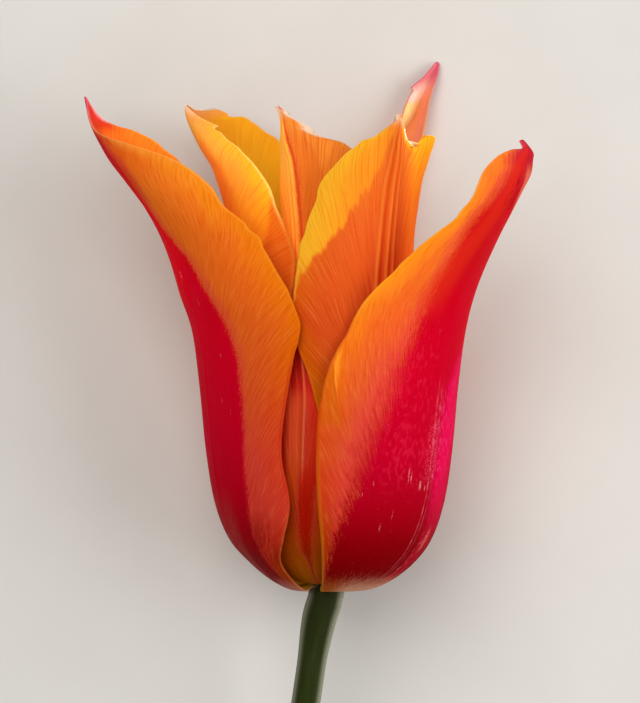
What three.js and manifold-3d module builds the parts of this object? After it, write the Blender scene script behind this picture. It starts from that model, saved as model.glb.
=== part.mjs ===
// A cut tulip with long pointed petals that flare outwards, lying on its back on a flat surface.
// Lengths are in millimetres. The flower is drawn upright: x to the right, y away from the viewer and z
// up the flower's axis from the top of the stem. It is then laid down with its axis along the surface.
import * as THREE from "three";
import { mergeVertices } from "three/addons/utils/BufferGeometryUtils.js";
import Module from "manifold-3d";

// Petals
const PETAL_THICKNESS = 0.7;
const PETAL_ROWS = 26; // mesh steps from the claw to the tip
const PETAL_COLUMNS = 18; // mesh steps from margin to margin
const COLUMN_CROWDING = 1.2; // above 1, columns crowd towards the midrib
const KEEL_WIDTH = 1.6;

// Lying pose
const AXIS_HEIGHT = 20.9; // of the flower's axis above the surface it lies on

// The cup that the outermost petals follow, as [radius, height] from the claw up to where petals part
const CUP = [
  [2.6, 0.35],
  [5.6, -0.35],
  [9.4, 0.9],
  [13.4, 3.8],
  [16.4, 7.8],
  [18.4, 13.8],
  [19.7, 22],
  [20.7, 32],
];

// Stem and receptacle
const STEM_PATH = [
  [-23.6, 18.35, -168],
  [-22.4, 18.3, -156],
  [-18.6, 16, -122],
  [-13.8, 12, -86],
  [-8, 6.6, -48],
  [-3.7, 2, -18.5],
  [-1.4, 0.4, -5],
];
const STEM_RADIUS = 2.35;
const STEM_END_RADIUS = 2.6;
const STEM_SIDES = 24;
const STEM_RINGS = 36;
const CUT_SLANT = 1.2; // rise of the cut across half the stem
// The receptacle as [height, radius] above the stem: a shoulder, the neck that the petals' claws ring, and
// the disc that carries the stamens and the pistil
const RECEPTACLE = [
  [-1.4, 2.5],
  [-0.3, 2.85],
  [0.02, 2.7],
  [0.1, 2.3],
  [3.3, 2.3],
  [3.7, 4.4],
  [4.1, 4.8],
  [4.5, 4.4],
];

// Pistil
const PISTIL_BASE = 4.8;
// The ovary and stigma as [height, radius, how far the three angles stand out]
const PISTIL = [
  [0, 1.7, 0],
  [1, 2.3, 0.15],
  [5, 2.9, 0.3],
  [11, 2.8, 0.35],
  [16.5, 2.2, 0.35],
  [18.2, 2, 0.4],
  [19.3, 2.9, 0.9],
  [20.6, 3.6, 1.3],
  [21.6, 3.3, 1.3],
  [22, 2.2, 0.9],
];
const PISTIL_SIDES = 24;

// Stamens
const STAMEN_AZIMUTHS = [-68, -8, 52, 112, 172, 232];
// Each has a stalk, the filament, and an anther on it, as [distance from the axis, height, own radius]
const FILAMENT = [
  [3.5, 3.9, 0.75],
  [4.5, 8.5, 0.85],
  [5.6, 12.5, 0.65],
  [6.3, 16.3, 0.5],
];
const ANTHER = [
  [6.2, 15.5, 0.75],
  [6.4, 16.6, 1.15],
  [6.9, 21, 1.3],
  [7.3, 25.5, 1.1],
  [7.45, 28, 0.5],
];
const FILAMENT_SIDES = 8;
const ANTHER_SIDES = 12;
const ANTHER_GROOVE = 0.28; // share of the radius lost in the grooves between its two lobes

// Each petal has the azimuths, at the stations of the cup, of its low margin, midrib and high margin, in
// degrees from the viewer's side towards the right. Above the cup it has the same three as [x, y, z].
const PETALS = [
  {
    name: "petal_outer_left",
    colour: 0xd8341c,
    depth: [0, 0, 0.4, 0.7, 0.4, 0.1, 0, 0],
    cupKeel: 0,
    keel: 0,
    cup: [
      [-128, -96, -60],
      [-124, -86, -42],
      [-122, -80, -38],
      [-120, -76, -36],
      [-119, -72, -27],
      [-119, -70, -20],
      [-121, -70, -22.5],
      [-123, -70, -18],
    ],
    upper: [
      [[-18, 11.2, 40], [-20.6, -7.6, 41.2], [-4.4, -20.3, 41.2]],
      [[-19.2, 9, 47], [-22.6, -8, 46.8], [-5.9, -18.6, 46.7]],
      [[-20.6, 7, 52], [-24, -8.4, 51.4], [-8.3, -17.8, 51]],
      [[-21.8, 4.8, 57], [-25.8, -8.6, 55.6], [-10.7, -17, 55.6]],
      [[-22.3, 2.4, 62], [-28.6, -8.8, 60], [-15.9, -16, 60.4]],
      [[-22.8, 0.4, 67], [-32, -9, 64.5], [-20.6, -15.5, 64.7]],
      [[-26.5, -2, 70.6], [-34.7, -9, 68], [-25.8, -14.7, 68.4]],
      [[-29.9, -3.6, 72.8], [-36.3, -8.8, 70.8], [-30.9, -13.5, 70.3]],
      [[-33, -4.6, 73.6], [-37.3, -8.6, 72.8], [-34.2, -12.5, 71.5]],
      [[-36.2, -6.2, 75], [-38.1, -8.2, 74.8], [-36.6, -10.6, 73.8]],
      [[-38.6, -7.5, 78], [-38.8, -8, 78.2], [-38.6, -8.5, 77.9]],
    ],
  },
  {
    name: "petal_outer_right",
    colour: 0xd02c24,
    depth: [0, 0, 0, 0, 0, 0, 0, 0],
    cupKeel: 0,
    keel: 0,
    cup: [
      [-30, 34, 96],
      [-12.5, 44, 108],
      [-7.3, 50, 112],
      [-5, 54, 115],
      [-4.5, 57, 118],
      [-5.6, 60, 120],
      [-6.1, 61, 121],
      [-3.5, 62, 122],
    ],
    upper: [
      [[2.7, -20, 41.2], [19.4, -10.4, 41], [18, 10.2, 40]],
      [[5.9, -19.8, 46.3], [21, -10.8, 46.5], [19.6, 8, 46]],
      [[10.6, -19.5, 51], [23.2, -11.2, 51], [21.4, 5.6, 51]],
      [[16.7, -19, 56.6], [25.9, -11.8, 55.8], [24, 2.6, 56]],
      [[19.9, -18.6, 59.1], [28.2, -12.3, 59.6], [26.2, -0.4, 60]],
      [[22.3, -18.2, 62.6], [30.1, -12.8, 63.2], [28.4, -3, 63.6]],
      [[23.6, -17.6, 65.6], [31.3, -13, 65.8], [30, -5, 66]],
      [[26, -16.8, 68.3], [31.7, -13, 68], [31, -7.6, 68]],
      [[28.6, -15.4, 69.6], [31.9, -13, 69.2], [31.8, -10, 69]],
      [[30.4, -13.6, 69.8], [31.3, -13, 70.2], [31.6, -12.4, 70]],
      [[30, -13.5, 71], [30.4, -13.1, 71.2], [30.8, -12.8, 71]],
    ],
  },
  {
    name: "petal_outer_back",
    colour: 0xe25a3a,
    depth: [0, 0, -0.6, -1.1, -1.1, -1.1, -1.1, -1.1],
    cupKeel: 0,
    keel: 0,
    cup: [
      [108, 167, 222],
      [118, 174, 228],
      [122, 177, 232],
      [122, 179, 236],
      [121, 180, 238],
      [120, 180, 239],
      [120, 180, 239],
      [121, 179, 238],
    ],
    upper: [
      [[18.8, 12.6, 41], [0.8, 21.4, 42], [-18.4, 12.6, 41]],
      [[14.4, 15, 49], [2.2, 21.4, 50], [-15.4, 13, 49]],
      [[12.4, 15.8, 57], [4.6, 21.4, 58], [-10.6, 15, 57]],
      [[13, 16.5, 64.5], [7.6, 21.4, 65.5], [-4, 17.4, 64.5]],
      [[15, 17, 70.5], [11, 21.2, 71.5], [6, 18.4, 70.5]],
      [[16, 17.4, 75.5], [13.8, 21, 76], [10.9, 17.4, 75]],
      [[16.7, 18, 79], [15, 20.6, 79], [12.2, 17.6, 78]],
      [[17.6, 18.8, 82], [16.4, 20.4, 82], [13.6, 18.2, 81]],
      [[18.1, 19.6, 84], [17.3, 20.4, 84], [15.6, 19, 83]],
      [[18.2, 20.1, 85], [17.8, 20.3, 85.4], [17.3, 20, 85.1]],
    ],
  },
  {
    name: "petal_inner_left",
    colour: 0xf09a24,
    depth: [1.1, 1.1, 1.4, 1.7, 1.5, 1.2, 1.1, 1.1],
    cupKeel: 0,
    keel: 0.3,
    cup: [
      [-172, -125, -76],
      [-168, -120, -70],
      [-166, -116, -64],
      [-165, -113, -58],
      [-165, -111, -52],
      [-165, -110, -46],
      [-166, -110, -40],
      [-166, -109, -34],
    ],
    upper: [
      [[-5, 17.4, 41], [-17.2, 5.6, 41], [-8, -16.2, 41]],
      [[-5.2, 16.4, 48], [-16.6, 5.2, 48], [-5.2, -14.9, 48]],
      [[-5.4, 15.6, 54], [-16.2, 4.8, 53], [-5.2, -14, 53]],
      [[-5.6, 15, 59], [-15.9, 4.8, 57], [-6.3, -12.8, 56.6]],
      [[-6, 14.6, 64], [-16.3, 5, 61], [-7.8, -11.9, 60.4]],
      [[-6.4, 14.2, 68], [-17.4, 5, 64.8], [-9, -10.8, 63.6]],
      [[-7.7, 14, 71.5], [-18.6, 5.4, 68], [-11.2, -9, 66.8]],
      [[-9.9, 13.5, 73.5], [-20, 5.6, 70], [-13.4, -6.8, 69.3]],
      [[-13, 13, 75.6], [-21.2, 6, 72.2], [-15.7, -4, 71.2]],
      [[-15.7, 12.5, 76.3], [-22.2, 6.4, 74.2], [-17.6, -1.2, 73.3]],
      [[-18.3, 11.5, 77.3], [-22.9, 6.8, 75.8], [-19.2, 1.6, 74.6]],
      [[-20.9, 10, 77], [-23.2, 7.2, 76.8], [-21.2, 4.4, 75.8]],
      [[-23, 8.3, 77.6], [-23.1, 7.8, 77.8], [-23, 7.3, 77.5]],
    ],
  },
  {
    name: "petal_inner_right",
    colour: 0xf08a20,
    depth: [1.1, 1.1, 1.2, 1.2, 1.2, 1.2, 1.2, 1.2],
    cupKeel: 0,
    keel: 0.4,
    cup: [
      [50, 90, 140],
      [46, 84, 132],
      [40, 76, 124],
      [32, 68, 116],
      [22, 58, 108],
      [10, 48, 100],
      [-1, 40, 94],
      [-8, 34, 90],
    ],
    upper: [
      [[-6.4, -18, 42.8], [8.9, -16.6, 41.5], [16.2, -2, 41]],
      [[-5.8, -17.4, 46.8], [9.2, -15.2, 46.8], [14.4, -2.8, 46.5]],
      [[-5.3, -16.3, 51.8], [9.3, -14.4, 51.6], [13.2, -3.6, 52]],
      [[-4.1, -15.5, 56.7], [9.6, -13.6, 56.4], [13.5, -4.3, 56.7]],
      [[-2.2, -14.8, 61], [10, -13.2, 60.8], [14.2, -4.8, 61]],
      [[-1.2, -14.2, 64.8], [10.4, -13, 64.6], [14.9, -5.4, 65]],
      [[1.2, -13.9, 67.8], [10.8, -12.9, 67.6], [15.9, -6.4, 68.4]],
      [[3.9, -13.5, 70.5], [11, -12.8, 70], [16.7, -7.4, 71.4]],
      [[6.4, -13.2, 71.5], [11.1, -12.7, 71.8], [15, -9, 72]],
      [[9, -12.9, 73], [11.2, -12.6, 73.4], [12.9, -11, 70.4]],
      [[10.3, -12.7, 73.6], [11.1, -12.6, 74.6], [11.5, -12.3, 73.8]],
      [[10.5, -12.7, 75.1], [10.9, -12.6, 75.3], [11.3, -12.5, 75.1]],
    ],
  },
  {
    name: "petal_inner_front",
    colour: 0xe4602a,
    depth: [1.1, 1.3, 1.8, 2.5, 2.6, 2.5, 2.5, 2.5],
    cupKeel: 0.4,
    keel: 1,
    cup: [
      [-46, -15, 22],
      [-50, -15, 28],
      [-52, -15, 32],
      [-52, -14.5, 34],
      [-52, -14, 36],
      [-52, -13, 38],
      [-54, -11.5, 40],
      [-56, -10, 42],
    ],
    upper: [
      [[-12, -8.5, 41], [-4, -15.2, 42], [11, -11.4, 41]],
      [[-8.4, -5.4, 49], [-4, -12.8, 50], [10, -9.6, 49]],
      [[-6, -3, 56], [-4.1, -11.8, 57], [9, -8.6, 56]],
      [[-6.2, -1.5, 62], [-4.6, -11, 63], [8, -8.2, 62]],
      [[-6.4, -2.4, 67], [-5.2, -10.6, 68], [6, -8.6, 67]],
      [[-6.6, -4, 70.4], [-6.1, -10.2, 71.2], [3.3, -9, 70.4]],
      [[-6.8, -5.6, 72.3], [-6.6, -9.8, 73], [-1, -9, 71.8]],
      [[-7.1, -6.8, 74], [-7.2, -9.2, 74.8], [-4.2, -9, 74]],
      [[-8.5, -8.2, 76.5], [-8.3, -8.5, 76.8], [-7.9, -8.8, 76.6]],
    ],
  },
];

const radians = THREE.MathUtils.degToRad;

// [azimuth, radius, height] of a point, with its azimuth within half a turn of a given one
function polar([x, y, z], near) {
  let azimuth = THREE.MathUtils.radToDeg(Math.atan2(x, -y));
  while (azimuth < near - 180) azimuth += 360;
  while (azimuth > near + 180) azimuth -= 360;
  return [azimuth, Math.hypot(x, y), z];
}

function cartesian([azimuth, radius, height]) {
  const turn = radians(azimuth);
  return new THREE.Vector3(radius * Math.sin(turn), -radius * Math.cos(turn), height);
}

// A station of the cup, moved inwards to a layer's depth
function cupStation(i, depth) {
  const before = CUP[Math.max(i - 1, 0)];
  const after = CUP[Math.min(i + 1, CUP.length - 1)];
  const along = new THREE.Vector2(after[0] - before[0], after[1] - before[1]).normalize();
  const radius = i ? CUP[i][0] - depth * along.y : CUP[i][0];
  return [radius, CUP[i][1] + depth * along.x];
}

// The rows of low margin, midrib and high margin that a petal hangs on, as polar points
function petalRows(petal) {
  const rows = petal.cup.map((azimuths, i) => {
    const [radius, height] = cupStation(i, petal.depth[i]);
    return azimuths.map((azimuth) => [azimuth, radius, height]);
  });
  for (const row of petal.upper) {
    const below = rows[rows.length - 1];
    rows.push(row.map((point, side) => polar(point, below[side][0])));
  }
  return rows;
}

// The value of a smooth line through a list of values, at a position counted in list steps
function smoothLine(values, position) {
  const i = Math.min(Math.floor(position), values.length - 2);
  const f = position - i;
  const at = (k) => values[Math.min(Math.max(k, 0), values.length - 1)];
  const [a, b, c, d] = [at(i - 1), at(i), at(i + 1), at(i + 2)];
  return b + 0.5 * f * (c - a + f * (2 * a - 5 * b + 4 * c - d + f * (3 * (b - c) + d - a)));
}

// The outer face of a petal at a row position, and at t from -1 on the low margin to 1 on the high one
function petalPoint(rows, position, t) {
  const [low, mid, high] = [0, 1, 2].map((side) =>
    [0, 1, 2].map((k) => smoothLine(rows.map((row) => row[side][k]), position)),
  );
  const across = (k) => mid[k] + 0.5 * t * (high[k] - low[k] + t * (high[k] + low[k] - 2 * mid[k]));
  return cartesian([0, 1, 2].map(across));
}

// Row positions spaced evenly along the midrib
function evenPositions(rows, count) {
  const samples = 400;
  const last = rows.length - 1;
  const lengths = [0];
  let before = petalPoint(rows, 0, 0);
  for (let i = 1; i <= samples; i++) {
    const here = petalPoint(rows, (last * i) / samples, 0);
    lengths.push(lengths[i - 1] + here.distanceTo(before));
    before = here;
  }
  const positions = [];
  for (let i = 0, j = 0; i <= count; i++) {
    const target = (lengths[samples] * i) / count;
    while (j < samples - 1 && lengths[j + 1] < target) j++;
    const f = Math.min((target - lengths[j]) / (lengths[j + 1] - lengths[j]), 1);
    positions.push((last * (j + f)) / samples);
  }
  return positions;
}

// How far the midrib stands out: it changes above the cup, and fades out at the claw and at the tip
function keelAt(petal, position, last) {
  const rise = THREE.MathUtils.clamp((position - CUP.length + 1) / 3, 0, 1);
  const fade = Math.min(position / 3, (last - position) / 3, 1);
  return fade * THREE.MathUtils.lerp(petal.cupKeel, petal.keel, rise);
}

// A petal as a closed shell between its outer face and the same face moved inwards
function petalGeometry(petal) {
  const rows = petalRows(petal);
  const last = rows.length - 1;
  const step = 0.01;
  const outer = [];
  const inner = [];
  for (const position of evenPositions(rows, PETAL_ROWS)) {
    for (let j = 0; j <= PETAL_COLUMNS; j++) {
      const even = (2 * j) / PETAL_COLUMNS - 1;
      const t = Math.sign(even) * Math.abs(even) ** COLUMN_CROWDING;
      const here = petalPoint(rows, position, t);
      const up = petalPoint(rows, Math.min(position + step, last), t);
      up.sub(petalPoint(rows, Math.max(position - step, 0), t));
      const side = petalPoint(rows, position, Math.min(t + step, 1));
      side.sub(petalPoint(rows, position, Math.max(t - step, -1)));
      const inwards = up.cross(side).normalize();
      const offset = here.distanceTo(petalPoint(rows, position, 0)) / KEEL_WIDTH;
      here.addScaledVector(inwards, -keelAt(petal, position, last) * Math.exp(-offset * offset));
      const inside = here.clone().addScaledVector(inwards, PETAL_THICKNESS);
      here.y = Math.min(here.y, AXIS_HEIGHT);
      inside.y = Math.min(inside.y, AXIS_HEIGHT - PETAL_THICKNESS);
      outer.push(here);
      inner.push(inside);
    }
  }
  return shellGeometry(outer, inner, PETAL_ROWS, PETAL_COLUMNS);
}

// A closed solid between two grids of points, both split along the same diagonals
function shellGeometry(outer, inner, rows, columns) {
  const back = outer.length;
  const at = (i, j) => i * (columns + 1) + j;
  const index = [];
  const quad = (a, b, c, d) => index.push(a, b, c, a, c, d);
  for (let i = 0; i < rows; i++) {
    for (let j = 0; j < columns; j++) {
      const [a, b, c, d] = [at(i, j), at(i, j + 1), at(i + 1, j + 1), at(i + 1, j)];
      quad(a, b, c, d);
      index.push(back + a, back + c, back + b, back + a, back + d, back + c);
    }
    quad(at(i + 1, 0), back + at(i + 1, 0), back + at(i, 0), at(i, 0));
    quad(at(i, columns), back + at(i, columns), back + at(i + 1, columns), at(i + 1, columns));
  }
  for (let j = 0; j < columns; j++) {
    quad(at(0, j), back + at(0, j), back + at(0, j + 1), at(0, j + 1));
    quad(at(rows, j + 1), back + at(rows, j + 1), back + at(rows, j), at(rows, j));
  }
  const geometry = new THREE.BufferGeometry().setFromPoints([...outer, ...inner]);
  geometry.setIndex(index);
  return geometry;
}

// A closed solid from a list of rings of points, each ring turning the same way
function ringsGeometry(rings) {
  const sides = rings[0].length;
  const points = rings.flat();
  const middle = (ring) => ring.reduce((sum, p) => sum.add(p), new THREE.Vector3()).divideScalar(sides);
  const start = points.length;
  const end = start + 1;
  points.push(middle(rings[0]), middle(rings[rings.length - 1]));
  const index = [];
  for (let i = 0; i + 1 < rings.length; i++) {
    for (let j = 0; j < sides; j++) {
      const next = (j + 1) % sides;
      const [a, b, c, d] = [i * sides + j, i * sides + next, (i + 1) * sides + next, (i + 1) * sides + j];
      index.push(a, b, c, a, c, d);
    }
  }
  const top = (rings.length - 1) * sides;
  for (let j = 0; j < sides; j++) {
    const next = (j + 1) % sides;
    index.push(start, next, j);
    index.push(end, top + j, top + next);
  }
  const geometry = new THREE.BufferGeometry().setFromPoints(points);
  geometry.setIndex(index);
  return geometry;
}

// The stem follows its path up into the receptacle
function stemGeometry() {
  const path = [...STEM_PATH, [0, 0, RECEPTACLE[0][0]]].map((point) => new THREE.Vector3(...point));
  const curve = new THREE.CatmullRomCurve3(path, false, "centripetal");
  const rings = [];
  for (let i = 0; i < STEM_RINGS; i++) {
    const f = i / STEM_RINGS;
    const centre = curve.getPointAt(f);
    const along = curve.getTangentAt(f);
    const across = along.clone().cross(new THREE.Vector3(1, 0, 0)).normalize();
    const side = across.clone().cross(along);
    const radius = THREE.MathUtils.lerp(STEM_END_RADIUS, STEM_RADIUS, Math.min(f * 1.6, 1));
    const ring = [];
    for (let j = 0; j < STEM_SIDES; j++) {
      const turn = (2 * Math.PI * j) / STEM_SIDES;
      const point = centre.clone();
      point.addScaledVector(side, radius * Math.cos(turn));
      point.addScaledVector(across, radius * Math.sin(turn));
      if (i === 0) point.addScaledVector(along, CUT_SLANT * Math.cos(turn));
      point.y = Math.min(point.y, AXIS_HEIGHT);
      ring.push(point);
    }
    rings.push(ring);
  }
  for (const [height, radius] of RECEPTACLE) rings.push(flatRing(height, STEM_SIDES, () => radius));
  return ringsGeometry(rings);
}

// A level ring round the flower's axis
function flatRing(height, sides, radiusAt) {
  const ring = [];
  for (let j = 0; j < sides; j++) {
    const turn = (2 * Math.PI * j) / sides;
    const radius = radiusAt(turn);
    ring.push(new THREE.Vector3(radius * Math.cos(turn), radius * Math.sin(turn), height));
  }
  return ring;
}

function pistilGeometry() {
  const rings = PISTIL.map(([height, radius, angled]) =>
    flatRing(PISTIL_BASE + height, PISTIL_SIDES, (turn) => radius + angled * Math.cos(3 * turn)),
  );
  return ringsGeometry(rings);
}

// A stalk that leans outwards at one azimuth, through [radius from the axis, height, own radius]
function stalkGeometry(profile, azimuth, sides, shapeAt) {
  const turn = radians(azimuth);
  const outwards = new THREE.Vector3(Math.sin(turn), -Math.cos(turn), 0);
  const sideways = new THREE.Vector3(Math.cos(turn), Math.sin(turn), 0);
  const rings = profile.map(([out, height, radius]) => {
    const ring = [];
    for (let j = 0; j < sides; j++) {
      const angle = (2 * Math.PI * j) / sides;
      const point = new THREE.Vector3(0, 0, height).addScaledVector(outwards, out);
      point.addScaledVector(sideways, -radius * shapeAt(angle) * Math.cos(angle));
      point.addScaledVector(outwards, radius * shapeAt(angle) * Math.sin(angle));
      ring.push(point);
    }
    return ring;
  });
  return ringsGeometry(rings);
}

// Fuses closed solids that overlap into one
async function fuse(geometries) {
  const wasm = await Module();
  wasm.setup();
  const solids = geometries.map((geometry) => {
    geometry.deleteAttribute("normal");
    geometry.deleteAttribute("uv");
    const welded = mergeVertices(geometry);
    const vertProperties = new Float32Array(welded.attributes.position.array);
    const triVerts = new Uint32Array(welded.index.array);
    return new wasm.Manifold(new wasm.Mesh({ numProp: 3, vertProperties, triVerts }));
  });
  const mesh = solids.reduce((whole, solid) => whole.add(solid)).getMesh();
  const geometry = new THREE.BufferGeometry();
  geometry.setAttribute("position", new THREE.BufferAttribute(new Float32Array(mesh.vertProperties), 3));
  geometry.setIndex(Array.from(mesh.triVerts));
  return geometry;
}

// The stem with its receptacle, and the six stamens that grow from it
function stemWithStamens() {
  const twoLobes = (angle) => 1 - ANTHER_GROOVE * Math.abs(Math.sin(angle)) ** 3;
  const stamens = STAMEN_AZIMUTHS.flatMap((azimuth) => [
    stalkGeometry(FILAMENT, azimuth, FILAMENT_SIDES, () => 1),
    stalkGeometry(ANTHER, azimuth, ANTHER_SIDES, twoLobes),
  ]);
  return fuse([stemGeometry(), ...stamens]);
}

const flower = new THREE.Group();

function addPiece(name, geometry, color, roughness) {
  const mesh = new THREE.Mesh(geometry, new THREE.MeshStandardMaterial({ color, roughness, metalness: 0 }));
  mesh.name = name;
  flower.add(mesh);
}

for (const petal of PETALS) addPiece(petal.name, petalGeometry(petal), petal.colour, 0.5);
addPiece("stem_and_stamens", await stemWithStamens(), 0x5c6432, 0.55);
addPiece("pistil", pistilGeometry(), 0xb9c472, 0.5);

// Laid down on the back petal, with the origin under the middle of the whole
flower.rotation.x = -Math.PI / 2;
flower.position.z = AXIS_HEIGHT;
flower.updateMatrixWorld(true);
const middle = new THREE.Box3().setFromObject(flower, true).getCenter(new THREE.Vector3());
flower.position.x -= middle.x;
flower.position.y -= middle.y;

const tulip = new THREE.Group();
tulip.add(flower);

export default tulip;
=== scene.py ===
import math

import bmesh
import bpy
import numpy as np
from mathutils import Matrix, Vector, noise


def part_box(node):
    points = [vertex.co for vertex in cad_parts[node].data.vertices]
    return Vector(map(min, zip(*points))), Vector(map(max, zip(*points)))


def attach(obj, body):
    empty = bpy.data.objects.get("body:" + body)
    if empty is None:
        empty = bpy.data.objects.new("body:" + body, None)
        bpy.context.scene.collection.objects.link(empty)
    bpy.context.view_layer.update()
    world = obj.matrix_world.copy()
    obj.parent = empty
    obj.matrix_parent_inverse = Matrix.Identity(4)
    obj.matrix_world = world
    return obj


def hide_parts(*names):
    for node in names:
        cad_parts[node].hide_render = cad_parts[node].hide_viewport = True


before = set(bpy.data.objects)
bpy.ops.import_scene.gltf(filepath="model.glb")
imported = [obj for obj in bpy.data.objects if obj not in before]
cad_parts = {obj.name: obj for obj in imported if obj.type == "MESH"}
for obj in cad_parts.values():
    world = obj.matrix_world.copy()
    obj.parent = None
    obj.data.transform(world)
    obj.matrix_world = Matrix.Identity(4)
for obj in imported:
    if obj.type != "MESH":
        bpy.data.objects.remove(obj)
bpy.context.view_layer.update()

MM = 0.001

# Lying pose
AXIS_HEIGHT = 20.9  # of the flower's axis above the surface it lies on

# The cup that the outermost petals follow, as [radius, height] from the claw up to where petals part
CUP = [[2.6, 0.35], [5.6, -0.35], [9.4, 0.9], [13.4, 3.8], [16.4, 7.8], [18.4, 13.8], [19.7, 22], [20.7, 32]]

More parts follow.
